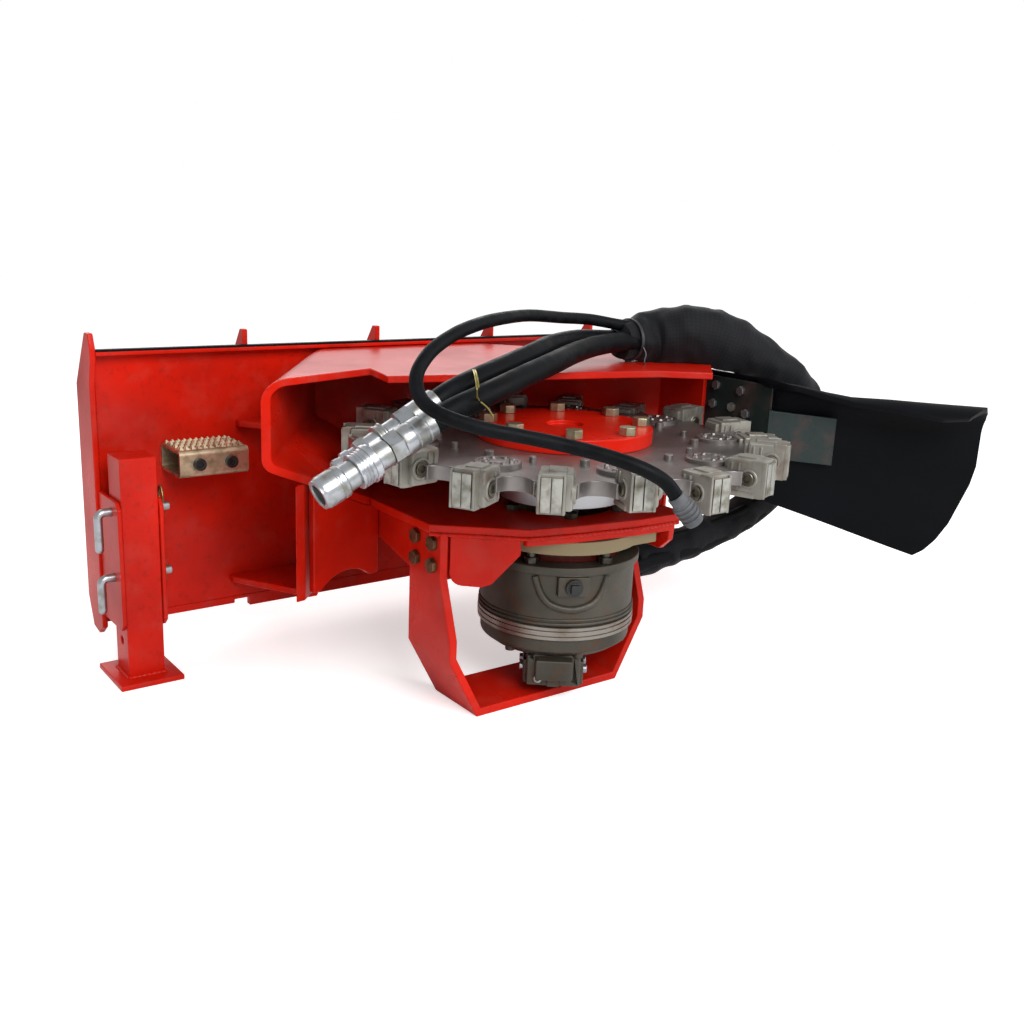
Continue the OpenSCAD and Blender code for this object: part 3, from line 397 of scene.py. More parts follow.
def on_seam(edge):
    """Whether an edge lies where the cheek is welded flush to the top sheet or the floor."""
    depths = [(v.co - CHEEK_CORNER).dot(CHEEK_INWARD) / MM for v in edge.verts]
    return any(all(abs(d - seam) < 0.5 for d in depths) for seam in SEAMS)


def round_edges(bm, edges, width, segments=2, clamp=True):
    """Rounds edges to a width in metres."""
    bmesh.ops.bevel(bm, geom=edges, offset=width, offset_type="OFFSET", segments=segments, profile=0.5,
                    affect="EDGES", clamp_overlap=clamp, material=-1)


def soften(bm, width, angle, segments):
    """Rounds every edge that is sharper than an angle, but for the flush seams."""
    limit = math.radians(angle)
    sharp = [e for e in bm.edges
             if len(e.link_faces) == 2 and e.calc_face_angle(0) > limit and not on_seam(e)]
    round_edges(bm, sharp, width, segments, clamp=False)
    return bm


def rounded(node, material, width, body="frame", segments=3, angle=30):
    """Piece that stands for a node, with its edges rounded."""
    return show(node + "_skin", soften(copy_of(node), width, angle, segments), material, body, [node])


def finish_node(node, material):
    """Gives a node that stays as it is its material."""
    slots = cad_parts[node].data.materials
    slots.clear()
    slots.append(material)


def spline(points, index, share):
    """Point on a smooth curve through given points."""
    a = points[max(index - 1, 0)]
    b = points[index]
    c = points[index + 1]
    d = points[min(index + 2, len(points) - 1)]
    return 0.5 * (2 * b + share * (c - a) + share ** 2 * (2 * a - 5 * b + 4 * c - d)
                  + share ** 3 * (3 * b - a - 3 * c + d))


def smooth_path(points, steps):
    """Smooth curve through points, with that many steps between each two."""
    points = [Vector(p) for p in points]
    inner = [spline(points, i, k / steps) for i in range(len(points) - 1) for k in range(steps)]
    return inner + [points[-1]]


def headings(path):
    """Unit direction of travel at each point of a path."""
    last = len(path) - 1
    return [(path[min(i + 1, last)] - path[max(i - 1, 0)]).normalized() for i in range(len(path))]


def frames(path, side):
    """Direction, side and up at each point; side is turned along with the path."""
    out = []
    side = Vector(side)
    for heading in headings(path):
        side = (side - side.dot(heading) * heading).normalized()
        out.append((heading, side.copy(), heading.cross(side)))
    return out


def ring_matrix(point, heading, side, up):
    """Matrix that lays a circle's X on side, its Y on up and its Z on the heading."""
    turn = Matrix((side, up, heading)).transposed().to_4x4()
    return Matrix.Translation(point) @ turn


def swept(path, radii, sides, side=(0, 1, 0), warp=None):
    """Tube along a path in metres, with its length and girth kept in a UV map called lay."""
    bm = bmesh.new()
    lay = bm.loops.layers.uv.new("lay")
    travelled = 0.0
    rings = []
    place = {}
    for k, (point, axes) in enumerate(zip(path, frames(path, side))):
        travelled += (point - path[k - 1]).length if k else 0.0
        matrix = ring_matrix(point, *axes)
        made = bmesh.ops.create_circle(bm, cap_ends=False, radius=radii[k], segments=sides, matrix=matrix)
        ring = made["verts"]
        for i, vert in enumerate(ring):
            place[vert] = (i, travelled)
            if warp:
                vert.co = warp(vert.co, point, travelled, i / sides)
        rings.append(ring)
    girth = 2 * math.pi * max(radii)
    for one, two in zip(rings, rings[1:]):
        open_edges = {e for v in one + two for e in v.link_edges if len(e.link_faces) < 2}
        edges = [e for e in open_edges
                 if (e.verts[0] in one and e.verts[1] in one) or (e.verts[0] in two and e.verts[1] in two)]
        bmesh.ops.bridge_loops(bm, edges=edges)
    for cap in (rings[0], rings[-1]):
        bmesh.ops.contextual_create(bm, geom=cap)
    for face in bm.faces:
        high = max(place[loop.vert][0] for loop in face.loops)
        for loop in face.loops:
            i, along = place[loop.vert]
            wrapped = i + sides if high > sides / 2 and i < sides / 4 else i
            loop[lay].uv = (wrapped / sides * girth, along)
    bmesh.ops.recalc_face_normals(bm, faces=bm.faces)
    return bm


def turned(profile, matrix, steps=48, bm=None):
    """Solid of revolution: profile is pairs of height and radius in millimetres, from end to end."""
    bm = bm or bmesh.new()
    before = set(bm.verts)
    points = [bm.verts.new((r * MM, 0, z * MM)) for z, r in profile]
    edges = [bm.edges.new(pair) for pair in zip(points, points[1:])]
    bmesh.ops.spin(bm, geom=points + edges, cent=(0, 0, 0), axis=(0, 0, 1), dvec=(0, 0, 0),
                   angle=2 * math.pi, steps=steps, use_merge=True, use_normal_flip=False, use_duplicate=False)
    new = [v for v in bm.verts if v not in before]
    bmesh.ops.remove_doubles(bm, verts=new, dist=0.01 * MM)
    new = [v for v in bm.verts if v not in before]
    bmesh.ops.transform(bm, matrix=matrix, verts=new)
    bmesh.ops.recalc_face_normals(bm, faces=[f for f in bm.faces if f.verts[0] not in before])
    return bm


def along_axis(point, heading):
    """Matrix that takes Z to a heading at a point."""
    heading = Vector(heading).normalized()
    return Matrix.Translation(Vector(point)) @ heading.to_track_quat("Z", "Y").to_matrix().to_4x4()


def block(bm, low, high, matrix=Matrix.Identity(4)):
    """Adds a box between two corners in millimetres and returns its vertices."""
    low, high = Vector(low) * MM, Vector(high) * MM
    size = Matrix.Diagonal((*(high - low), 1.0))
    made = bmesh.ops.create_cube(bm, size=1.0, matrix=matrix @ Matrix.Translation((low + high) / 2) @ size)
    return made["verts"]


def disc_solid(bm, radius, height, matrix, sides=24, top=None):
    """Adds a closed cylinder or cone, in millimetres, standing on the matrix's origin."""
    top = radius if top is None else top
    lift = matrix @ Matrix.Translation((0, 0, height / 2 * MM))
    made = bmesh.ops.create_cone(bm, cap_ends=True, segments=sides, radius1=radius * MM, radius2=top * MM,
                                 depth=height * MM, matrix=lift)
    return made["verts"]


# ---------- cords ----------
def bundle_angle(share):
    """How far the bundle has turned inside the sleeve, from its lower end to its mouth."""
    return math.pi * share


def inside_sleeve(radius, start):
    """A hose's points inside the sleeve from its lower end to its mouth, in millimetres."""
    middle = [Vector(p) for p in reversed(WRAP)]
    count = len(middle) - 1
    out = []
    for i, (point, (heading, side, up)) in enumerate(zip(middle, frames(middle, (0, 1, 0)))):
        angle = start + bundle_angle(i / count)
        out.append(point + radius * (math.cos(angle) * side + math.sin(angle) * up))
    return out[1:-1]


def make_hose(name, tail, radius, start, route, diameter, inside, nodes):
    """One hose from its port fitting, through the sleeve, to what is on its end."""
    points = [Vector(p) for p in tail] + inside_sleeve(radius, start) + [Vector(p) for p in route]
    path = smooth_path([p * MM for p in points], 6)
    path.append(path[-1] + headings(path)[-1] * inside)
    sides = 24 if diameter > 20 * MM else 16
    bm = swept(path, [diameter / 2] * len(path), sides)
    piece = show(name, bm, hose_rubber("hose_cover_rubber"), nodes=nodes, weighted=False, smooth=60)


# ---------- camera ----------
CAMERA_AT = (-0.9936, -1.19105, 0.66896)            # in metres
CAMERA_ANGLES = (37.2617, 14.8867, 2.5010)          # yaw, pitch down and roll, in degrees
SENSOR_WIDTH, FOCAL_LENGTH = 36.0, 38.75            # in millimetres


class GRINDER_OT_camera(bpy.types.Operator):
    """Places the camera at the product's three-quarter view"""
    bl_idname = "grinder.camera"
    bl_label = "Camera"

    def execute(self, context):
        data = bpy.data.cameras.new("Camera")
        data.sensor_width = SENSOR_WIDTH
        data.lens = FOCAL_LENGTH
        camera = bpy.data.objects.new("Camera", data)
        context.scene.collection.objects.link(camera)
        yaw, pitch, roll = (math.radians(a) for a in CAMERA_ANGLES)
        turn = (Matrix.Rotation(-yaw, 4, "Z") @ Matrix.Rotation(math.pi / 2 - pitch, 4, "X")
                @ Matrix.Rotation(roll, 4, "Z"))
        camera.matrix_world = Matrix.Translation(CAMERA_AT) @ turn
        context.scene.camera = camera
        return {"FINISHED"}


# ---------- couplers, hoses and sleeve ----------
def coupler_profile_female():
    """Heights and radii of the female coupler, from the ferrule to its open nose."""
    ferrule = [(-4, 15.2), (-4, 18.6), (6, 18.6), (7, 18.0), (9, 18.0), (10, 18.6), (22, 18.6), (23, 18.0),
               (25, 18.0), (26, 18.6), (38, 18.6), (41, 17.0), (42, 15.0)]
    body = [(60, 15.0), (61, 17.0), (124, 17.0), (124, 18.8), (126, 20.0), (131, 20.0), (132, 19.2),
            (134, 19.2), (135, 20.0), (152, 20.0), (155, 18.4), (158, 18.0), (158, 13.6), (156, 12.6),
            (122, 12.6), (122, 0.0)]
    return ferrule, body


class GRINDER_OT_couplers(bpy.types.Operator):
    """Models the two quick couplers, the release collar and the drain hose's dust cap"""
    bl_idname = "grinder.couplers"
    bl_label = "Couplers"

    def execute(self, context):
        zinc = zinc_material()
        pressure = smooth_path(metres(PRESSURE), 2)
        back = smooth_path(metres(RETURN), 2)
        female = along_axis(pressure[-1], headings(pressure)[-1])
        male = along_axis(back[-1], headings(back)[-1])
        bm = bmesh.new()
        ferrule, body = coupler_profile_female()
        turned([(32, 0.0), (32, 15.2)] + ferrule + [(42, 0.0)], female, bm=bm)
        hexagon(bm, 42, 18, 20.5, female)
        turned([(60, 0.0)] + body, female, bm=bm)
        show("female_coupler", bm, zinc, nodes=["quick_couplers"], smooth=30)
        bm = bmesh.new()
        turned([(32, 0.0), (32, 15.2), (-2, 15.2), (-2, 17.0), (-1, 18.0), (12, 18.0), (13, 17.2),
                (15, 17.2), (16, 18.0), (36, 18.0), (38, 16.5), (38, 0.0)], male, bm=bm)
        hexagon(bm, 38, 18, 19.5, male)
        turned([(56, 0.0), (56, 13.5), (58, 14.5), (74, 14.5), (76, 17.0), (77, 19.0), (79, 19.0), (80, 18.0),
                (84, 18.0), (85, 19.0), (87, 19.0), (88, 14.0), (104, 14.0), (104, 0.0)], male, bm=bm)
        hexagon(bm, 104, 14, 17.5, male)
        turned([(118, 0.0), (118, 12.0), (127, 12.0), (128, 14.0), (137, 14.0), (139, 11.0), (142, 11.0),
                (144, 12.0), (149, 12.0), (152, 10.0), (152, 6.0), (147, 4.0), (147, 0.0)], male, bm=bm)
        show("male_coupler", bm, zinc, nodes=["quick_couplers"], smooth=30)
        bm = bmesh.new()
        grooves = [(z + d, r) for z in range(94, 106, 4)
                   for d, r in ((0, 22.0), (1, 20.8), (2, 20.8), (3, 22.0))]
        turned([(80, 17.4), (80, 21.0), (81, 22.0), (84, 22.0), (84.5, 23.6), (89.5, 23.6), (90, 22.0)]
               + grooves + [(107, 22.0), (108, 21.0), (108, 17.4), (80, 17.4)], female, bm=bm)
        show("release_collar_skin", bm, zinc_plate("collar_zinc_plate", "#C2C5CA", "#9C9EA4", 0.24), "collar",
             ["release_collar"], smooth=30)
        drain = metres(DRAIN)
        end = along_axis(drain[-1], drain[-1] - drain[-2])
        bm = bmesh.new()
        ribs = [(z + d, r) for z in (11, 17, 23, 29)
                for d, r in ((0, 11.4), (0.8, 13.0), (3, 13.0), (3.8, 11.4))]
        turned([(22, 0.0), (22, 8.7), (-3, 8.7), (-3, 9.6), (-2, 10.4), (8, 10.4), (9, 11.4)] + ribs
               + [(37, 11.4), (39, 10.0), (40, 7.0), (40, 0.0)], end, bm=bm, steps=36)
        show("dust_cap", bm, moulded_plastic("dust_cap_nylon", "#55575B", 0.55), nodes=["drain_cap"],
             smooth=30)
        return {"FINISHED"}


def hexagon(bm, z, height, radius, matrix):
    """Adds a hexagonal nut body with its corners turned off."""
    lift = matrix @ Matrix.Translation((0, 0, z * MM))
    verts = disc_solid(bm, radius, height, lift, sides=6)
    edges = list({e for v in verts for e in v.link_edges})
    round_edges(bm, edges, 0.8 * MM)


class GRINDER_OT_hoses(bpy.types.Operator):
    """Lays the pressure, return and drain hoses from their ports to their ends"""
    bl_idname = "grinder.hoses"
    bl_label = "Hoses"

    def execute(self, context):
        sizes = context.scene.grinder_sizes
        make_hose("pressure_hose_cover", PRESSURE_TAIL, PAIR_REACH, 0.0, PRESSURE, sizes.hose, 30 * MM,
                  ["pressure_hose"])
        make_hose("return_hose_cover", RETURN_TAIL, PAIR_REACH, math.pi, RETURN, sizes.hose, 30 * MM,
                  ["return_hose"])
        make_hose("drain_hose_cover", DRAIN_TAIL, DRAIN_REACH, math.pi / 2, DRAIN, sizes.drain, 20 * MM,
                  ["drain_hose"])
        return {"FINISHED"}


SLEEVE_STEPS = 14           # rings between two points of the sleeve's route
TIE_STEP = 9                # ring that the tie is pulled round
WIRE = 1.1 * MM             # radius of the binding wire


def sleeve_folds(co, point, travelled, share):
    """Pushes the cloth out and in: slanted pull folds, a few broad sags and fine crumples."""
    out = (co - point).normalized()
    around = share * 2 * math.pi
    slant = math.sin(around * 2 + travelled * 38 + 2.0 * math.sin(travelled * 11))
    ruck = math.sin(travelled * 150 + 2.4 * math.sin(around + travelled * 9))
    broad = noise.noise(co * 14 + SEED)
    fine = noise.noise(co * 46 + SEED)
    push = 3.0 * slant * (0.45 + broad) + 1.8 * ruck * (0.4 + fine) + 4.0 * broad + 2.4 * fine
    return co + out * (push - 1.0) * MM


def merged(bm, other):
    """Moves another bmesh's geometry into bm."""
    mesh = bpy.data.meshes.new("part")
    other.to_mesh(mesh)
    other.free()
    bm.from_mesh(mesh)
    bpy.data.meshes.remove(mesh)


def binding_wire():
    """Thin wire tied round the two hoses behind their couplers, its ends sticking out."""
    centre = Vector((-214, -82, 463.5)) * MM
    across = (Vector((-226, -104, 456)) - Vector((-202, -60, 471))).normalized()
    up = Vector((0, 0, 1)) - Vector((0, 0, 1)).dot(across) * across
    up.normalize()
    bm = bmesh.new()
    for lift in (0.0, 2.4 * MM):
        back = across.cross(up) * lift
        loop = [centre + back + across * math.cos(a) * 41.5 * MM + up * math.sin(a) * 18.0 * MM
                for a in (math.radians(10 * k) for k in range(36))]
        merged(bm, swept(loop + [loop[0]], [WIRE] * (len(loop) + 1), 8, side=tuple(across.cross(up))))
    knot = centre + across * 41 * MM + up * 4 * MM
    for ends in (((0, 0, 0), (-10, -9, 8), (-19, -21, 19)), ((0, 0, 0), (4, -12, -7), (3, -26, -16))):
        tail = smooth_path([knot + bend for bend in metres(ends)], 5)
        merged(bm, swept(tail, [WIRE] * len(tail), 8, side=(0, 0, 1)))
    show("binding_wire", bm, zinc_plate("wire_brass", "#C2B26A", "#7A6C3A", 0.35),
         smooth=60)


class GRINDER_OT_sleeve(bpy.types.Operator):
    """Models the textile sleeve over the hose bundle and the tie at its mouth"""
    bl_idname = "grinder.sleeve"
    bl_label = "Sleeve"

    def execute(self, context):
        sizes = context.scene.grinder_sizes
        path = smooth_path(metres(WRAP), SLEEVE_STEPS)
        swell = smooth_path([Vector((s, 0, 0)) for s in WRAP_SWELL], SLEEVE_STEPS)
        radii = [sizes.sleeve / 2 + s.x * MM for s in swell]
        last = len(radii) - 1
        for k in range(len(radii)):
            gather = min(k, last - k) / SLEEVE_STEPS
            radii[k] *= 0.93 + 0.07 * min(1.0, gather)
        bm = swept(path, radii, 72, warp=sleeve_folds)
        cloth = woven_nylon("sleeve_nylon", tuple(context.scene.grinder_colours.cloth))
        show("sleeve_cloth", bm, cloth, nodes=["hose_sleeve"], smooth=80, weighted=False)
        tie = path[TIE_STEP]
        axes = frames(path, (0, 1, 0))[TIE_STEP]
        bm = turned([(-2.5, 31.2), (-2.5, 33.2), (2.5, 33.2), (2.5, 31.2), (-2.5, 31.2)],
                    ring_matrix(tie, *axes), 64)
        block(bm, (-4, -38, -3.5), (4, -30, 3.5), ring_matrix(tie, *axes))
        bends = metres([(0, -33, -8), (2, -38, -18), (-3, -41, -30), (3, -42, -42)])
        tail = smooth_path([tie + bend for bend in bends], 5)
        merged(bm, swept(tail, [1.5 * MM] * len(tail), 8))
        show("sleeve_tie", bm, moulded_plastic("tie_nylon", "#1B1C20", 0.45), smooth=35)
        binding_wire()
        return {"FINISHED"}


# ---------- frame ----------
SHEETS = ["attach_plate", "hook_rail", "rail_fins", "left_end_plate", "right_end_plate", "lock_flange",
          "top_sheet", "left_cheek", "rear_wall", "floor_sheet", "left_skirt", "diagonal_skirt", "nose_skirt",
          "right_side_plate", "lower_gusset", "arched_web", "cheek_ribs", "guard_strap", "stand_sleeve",
          "stand_leg", "stand_foot"]


LEG_WELD = [(-537, 299), (-483, 299), (-483, 353), (-537, 353), (-537, 299)]
WELDS = [
    [(-538, 391, 80), (-538, 391, 452)],                    # left end plate to attach plate
    [(596, 391, 80), (596, 391, 452)],                      # right end plate to attach plate
    [(-206, 391, 352), (-206, 391, 444)],                   # cheek to attach plate
    [(-164, 391, 100), (-164, 391, 300)],                   # gusset to attach plate
    [(-477, 391, 84), (-477, 391, 264)],                    # right side plate of the stand
    [(x, y, 8) for x, y in LEG_WELD],                       # leg to foot
    [(-232, -12, 262), (-130, -96, 262), (-60, -112, 262), (41, -127, 262), (112, -129, 262)],
]


def weld_bead(bm, points, width):
    """Adds one rippled fillet weld along a line of points in millimetres."""
    points = metres(points)
    path = []
    for a, b in zip(points, points[1:]):
        steps = max(2, round((b - a).length / (2.2 * MM)))
        path += [a.lerp(b, k / steps) for k in range(steps)]
    path.append(points[-1])
    heading = (points[1] - points[0]).normalized()
    side = (0, 1, 0) if abs(heading.y) < 0.7 else (0, 0, 1)
    radii = [width / 2 * (1 + 0.16 * math.sin(1.9 * k) + 0.12 * noise.noise(p * 90 + SEED))
             for k, p in enumerate(path)]
    merged(bm, swept(path, radii, 8, side=side))


def weld_seams(width):
    """Every weld bead of the frame as one piece."""
    bm = bmesh.new()
    for points in WELDS:
        weld_bead(bm, points, width)
    show("weld_beads", bm, paint_material(), smooth=60, weighted=False)


class GRINDER_OT_frame(bpy.types.Operator):
    """Paints the welded frame and rounds its cut edges"""
    bl_idname = "grinder.frame"
    bl_label = "Frame"

    def execute(self, context):
        sizes = context.scene.grinder_sizes
        for node in SHEETS:
            rounded(node, paint_material(), sizes.edge_round)
        weld_seams(sizes.weld)
        # Painted shade: this near-black strip along the top of the hook rail stands in for the shaded gap
        # behind the rail's lip. The shaft seal uses the same black rubber.
        rounded("rail_strip", sheet_rubber("shade_strip_and_seal_rubber", linear("#101012")), 0.5 * MM)
        rounded("guard_bolts", zinc_plate("guard_bolt_steel", "#7A6248", "#3E2E20", 0.42), 0.7 * MM,
                segments=2)
        return {"FINISHED"}


def spring_clip(place):
    """R-clip of round wire through the pin: a straight leg, a looped top and a waved leg."""
    low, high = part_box(place + "_clip")
    foot = Vector(((low.x + high.x) / 2, low.y + 2 * MM, low.z))
    tall = (high.z - low.z) / MM
    route = [(0, 0, 0), (0, 0, tall * 0.6), (0, 1, tall - 12), (0, 6, tall - 3), (0, 12, tall - 3),
             (0, 16, tall - 12), (0, 13, tall - 22), (0, 6, tall - 32), (0, 5, tall - 38), (0, 10, tall - 46),
             (0, 16, tall - 52)]
    path = smooth_path([foot + bend for bend in metres(route)], 6)
    bm = swept(path, [1.9 * MM] * len(path), 12, side=(1, 0, 0))
    show(place + "_clip_wire", bm, yellow_zinc_material(), place + "_pin", [place + "_clip"], smooth=60,
         weighted=False)


STEP_COLUMNS, STEP_ROWS = 11, 7          # of teeth on the step


def step_tread():
    """Bent zinc channel with rows of punched saw teeth on top; its sides are open."""
    low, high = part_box("step_tread")
    top = high.z - 4 * MM
    size = Matrix.Diagonal((high.x - low.x, high.y - low.y, top - low.z, 1))
    middle = Vector(((low.x + high.x) / 2, (low.y + high.y) / 2, (low.z + top) / 2))
    bm = bmesh.new()
    bmesh.ops.create_cube(bm, size=1.0, matrix=Matrix.Translation(middle) @ size)
    ends = [f for f in bm.faces if abs(f.normal.x) > 0.9]
    bmesh.ops.delete(bm, geom=ends, context="FACES_ONLY")
    corners = [e for e in bm.edges if abs((e.verts[0].co - e.verts[1].co).normalized().x) > 0.9]
    round_edges(bm, corners, 8 * MM, 6)
    bmesh.ops.recalc_face_normals(bm, faces=bm.faces)
    bmesh.ops.solidify(bm, geom=bm.faces, thickness=4.5 * MM)
    pitch_x = (high.x - low.x - 6 * MM) / STEP_COLUMNS
    pitch_y = (high.y - low.y - 12 * MM) / STEP_ROWS
    for i in range(STEP_COLUMNS):
        for j in range(STEP_ROWS):
            lean = 0.18 if j % 2 else -0.18
            at = Vector((low.x + 3 * MM + (i + 0.5) * pitch_x, low.y + 8 * MM + (j + 0.5) * pitch_y,
                         top - 0.5 * MM))
            place = Matrix.Translation(at) @ Matrix.Rotation(math.pi / 4, 4, "Z")
            tip = [v for v in disc_solid(bm, 5.6, 5.0, place, 4, 1.0) if v.co.z > at.z + 2 * MM]
            bmesh.ops.translate(bm, verts=tip, vec=(lean * pitch_x, 0, 0))
    show("step_grip", bm, zinc_plate("step_zinc_plate", "#CFC0A2", "#8F7F62", 0.4), nodes=["step_tread"],
         smooth=40)


class GRINDER_OT_stand(bpy.types.Operator):
    """Finishes the stand's lock pins and clips and the step"""
    bl_idname = "grinder.stand"
    bl_label = "Stand"

    def execute(self, context):
        for place in ("upper", "lower"):
            rounded(f"{place}_lock_pin", zinc_material(), 0.5 * MM, f"{place}_pin", 2, 50)
            spring_clip(place)
        step_tread()
        rounded("step_bolts", oxide_material(), 0.8 * MM)
        return {"FINISHED"}


# ---------- cutter ----------
TEETH = 18
TOOTH_PHASE = -131                      # angle of the first tooth, in degrees
TOOTH_LIFTS = (0, 5, -5)                # of each third tooth, in millimetres
BLOCK_HEIGHT = 50
BUTTON_REACH, STUD_REACH = 223, 184      # from the cutter's axis to the caps and to the studs


def tooth_places():
    """Matrix of each tooth: X out from the cutter's axis, Z up from the block's foot."""
    low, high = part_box("cutter_disc")
    foot = (low.z + high.z) / 2 - BLOCK_HEIGHT / 2 * MM
    for i in range(TEETH):
        turn = Matrix.Rotation(math.radians(TOOTH_PHASE + i * 360 / TEETH), 4, "Z")
        yield turn @ Matrix.Translation((0, 0, foot + TOOTH_LIFTS[i % 3] * MM))


def chamfered(bm, low, high, width):
    """Adds a box between two corners in millimetres, its edges rounded."""
    verts = block(bm, low, high)
    edges = list({e for v in verts for e in v.link_edges})
    round_edges(bm, edges, width * MM)


def boss(bm, x, y, z, radius, height, outwards, dish):
    """Adds a round boss on the side of a tooth block, dished by a depth in millimetres."""
    turn = Matrix.Rotation(-outwards * math.pi / 2, 4, "X")
    rim = radius - 3
    profile = [(-2, 0.0), (-2, radius), (height - 0.8, radius), (height, radius - 0.8), (height, rim),
               (height - dish, rim - 0.6), (height - dish, 0.0)]
    turned(profile, Matrix.Translation(Vector((x, y, z)) * MM) @ turn, 20, bm)


def tooth_casting():
    """One cast tooth block: body, nose, ribs beside the tip, bolt bosses and a lip on its lower edge."""
    bm = bmesh.new()
    chamfered(bm, (258, -21, 3), (302, 21, 49), 4.0)
    chamfered(bm, (252, -15, 30), (276, 15, 46), 3.5)
    chamfered(bm, (292, -21.5, 0.5), (309.5, 12.5, 50), 2.0)
    for y in (-21.5, 8.5):
        chamfered(bm, (306, y, 1.5), (313, y + 3.6, 49), 1.0)
    chamfered(bm, (262, -22.5, 0), (300, -14, 8), 2.0)
    chamfered(bm, (268, -10, 46), (296, 12, 51.5), 1.6)
    for x in (264, 274):
        chamfered(bm, (x, -23, 8), (x + 4, 23, 44), 1.4)
    boss(bm, 289, 20.5, 25, 14.5, 3.5, 1, 2.6)
    boss(bm, 290, -20.5, 25, 12.5, 2.5, -1, 1.6)
    return bm


def repeated(make, places):
    """One bmesh with what make() models set at every place."""
    mesh = bpy.data.meshes.new("one")
    one = make()
    one.to_mesh(mesh)
    one.free()
    bm = bmesh.new()
    for place in places:
        before = len(bm.verts)
        bm.from_mesh(mesh)
        bm.verts.ensure_lookup_table()
        bmesh.ops.transform(bm, matrix=place, verts=bm.verts[before:])
    bpy.data.meshes.remove(mesh)
    return bm


def tooth_tip():
    """Brazed carbide tip, split by a groove."""
    bm = bmesh.new()
    chamfered(bm, (308, -17.4, 4), (314, -5.4, 46), 0.9)
    chamfered(bm, (308, -4.6, 4), (314.6, 8, 46), 0.9)
    return bm


def tooth_screw():
    """Clamp screw with a socket in its head, in the boss on each side of a block."""
    bm = bmesh.new()
    for side, y in ((1, 20.5), (-1, -21)):
        turn = Matrix.Rotation(-side * math.pi / 2, 4, "X")
        place = Matrix.Translation(Vector((289, y, 25)) * MM) @ turn
        turned([(-2, 0.0), (-2, 9.0), (3.6, 9.0), (4.6, 8.0), (4.6, 4.8), (1.5, 4.6), (1.5, 0.0)],
               place, 18, bm)
    return bm


def wear_pads():
    """Round hard-facing caps with raised lugs, and small turned studs between them."""
    low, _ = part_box("wear_buttons")
    bm = bmesh.new()
    for i in range(0, TEETH, 2):
        turn = Matrix.Rotation(math.radians(TOOTH_PHASE + (i + 1) * 360 / TEETH), 4, "Z")
        place = turn @ Matrix.Translation((BUTTON_REACH * MM, 0, low.z))
        turned([(-1, 0.0), (-1, 30.0), (5, 30.0), (6, 28.8), (6, 25), (5, 24), (5, 12), (6, 11), (6.6, 0.0)],
               place, 40, bm)
        for k in range(8):
            lug = (place @ Matrix.Rotation(k * math.pi / 4, 4, "Z")
                   @ Matrix.Translation((18.5 * MM, 0, 4.5 * MM)))
            disc_solid(bm, 4.2, 3.2, lug, 6, 3.2)
        for offset, size in ((-26, 6.5), (24, 4.6)):
            stud = (turn @ Matrix.Rotation(math.radians(offset / 2.6), 4, "Z")
                    @ Matrix.Translation((STUD_REACH * MM, 0, low.z)))
            turned([(-1, 0.0), (-1, size), (7, size), (8.4, size - 1.2), (8.4, 0.0)], stud, 20, bm)
    show("wear_pads", bm, disc_material(), "cutter", ["wear_buttons"], smooth=35)


class GRINDER_OT_cutter(bpy.types.Operator):
    """Finishes the disc, its hub cover, teeth, buttons and bolts"""
    bl_idname = "grinder.cutter"
    bl_label = "Cutter"

    def execute(self, context):
        rounded("cutter_disc", disc_material(), 1.2 * MM, "cutter")
        rounded("hub_cover", cover_material(), 1.6 * MM, "cutter")
        rounded("hub_bolts", zinc_plate("bolt_zinc_plate", "#BDB69A", "#857A5A", 0.34), 1.0 * MM, "cutter", 2)
        places = list(tooth_places())
        show("tooth_castings", repeated(tooth_casting, places), tooth_material(), "cutter",
             ["tooth_blocks"], smooth=35)
        show("tooth_tips", repeated(tooth_tip, places),
             zinc_plate("carbide_grey", "#B0AFA8", "#6E6A5C", 0.36), "cutter", ["carbide_tips"], smooth=35)
        show("tooth_screws", repeated(tooth_screw, places),
             zinc_plate("screw_steel", "#6E6A5E", "#3F3B32", 0.42), "cutter", ["tooth_bolts"], smooth=35)
        wear_pads()
        for node in ("drive_hub", "motor_rotor", "output_shaft"):
            finish_node(node, machined_steel("bearing_steel", "#57565A", "#3C352C", 0.5))
        return {"FINISHED"}


# ---------- motor ----------
MOTOR_R = 112                           # radius of the motor's side, in millimetres
PLUG_TURN, BLOCK_TURN = -118, -128      # angles of the case plug and the port block, in degrees


def on_motor(angle, z):
    """Point on the motor's side at an angle in degrees and a height in millimetres."""
    a = math.radians(angle)
    return Vector((math.cos(a) * MOTOR_R, math.sin(a) * MOTOR_R, z)) * MM


def motor_ribs(iron):
    """Raised saddle below the case plug, two parting ribs round the housing and six round pads."""
    bm = bmesh.new()
    saddle = [(-27, 196), (-25, 184), (-21, 168), (-14, 156), (0, 150), (14, 156), (21, 168), (25, 184),
              (27, 196)]
    path = smooth_path([on_motor(PLUG_TURN + a, z) for a, z in saddle], 6)
    merged(bm, swept(path, [5.5 * MM] * len(path), 14, side=(0, 0, 1)))
    for z, size in ((134, 2.0), (128, 2.6)):
        ring = [on_motor(5 * k, z) for k in range(73)]
        merged(bm, swept(ring, [size * MM] * 73, 8, side=(0, 0, 1)))
    for turn in range(0, 360, 60):
        at = Matrix.Rotation(math.radians(turn + 12), 4, "Z") @ Matrix.Translation((98 * MM, 0, 84 * MM))
        turned([(-10, 0.0), (-10, 7.0), (-1, 8.0), (6, 8.0), (6, 0.0)], at, 20, bm)
    show("motor_ribs", bm, iron, smooth=50, weighted=False)


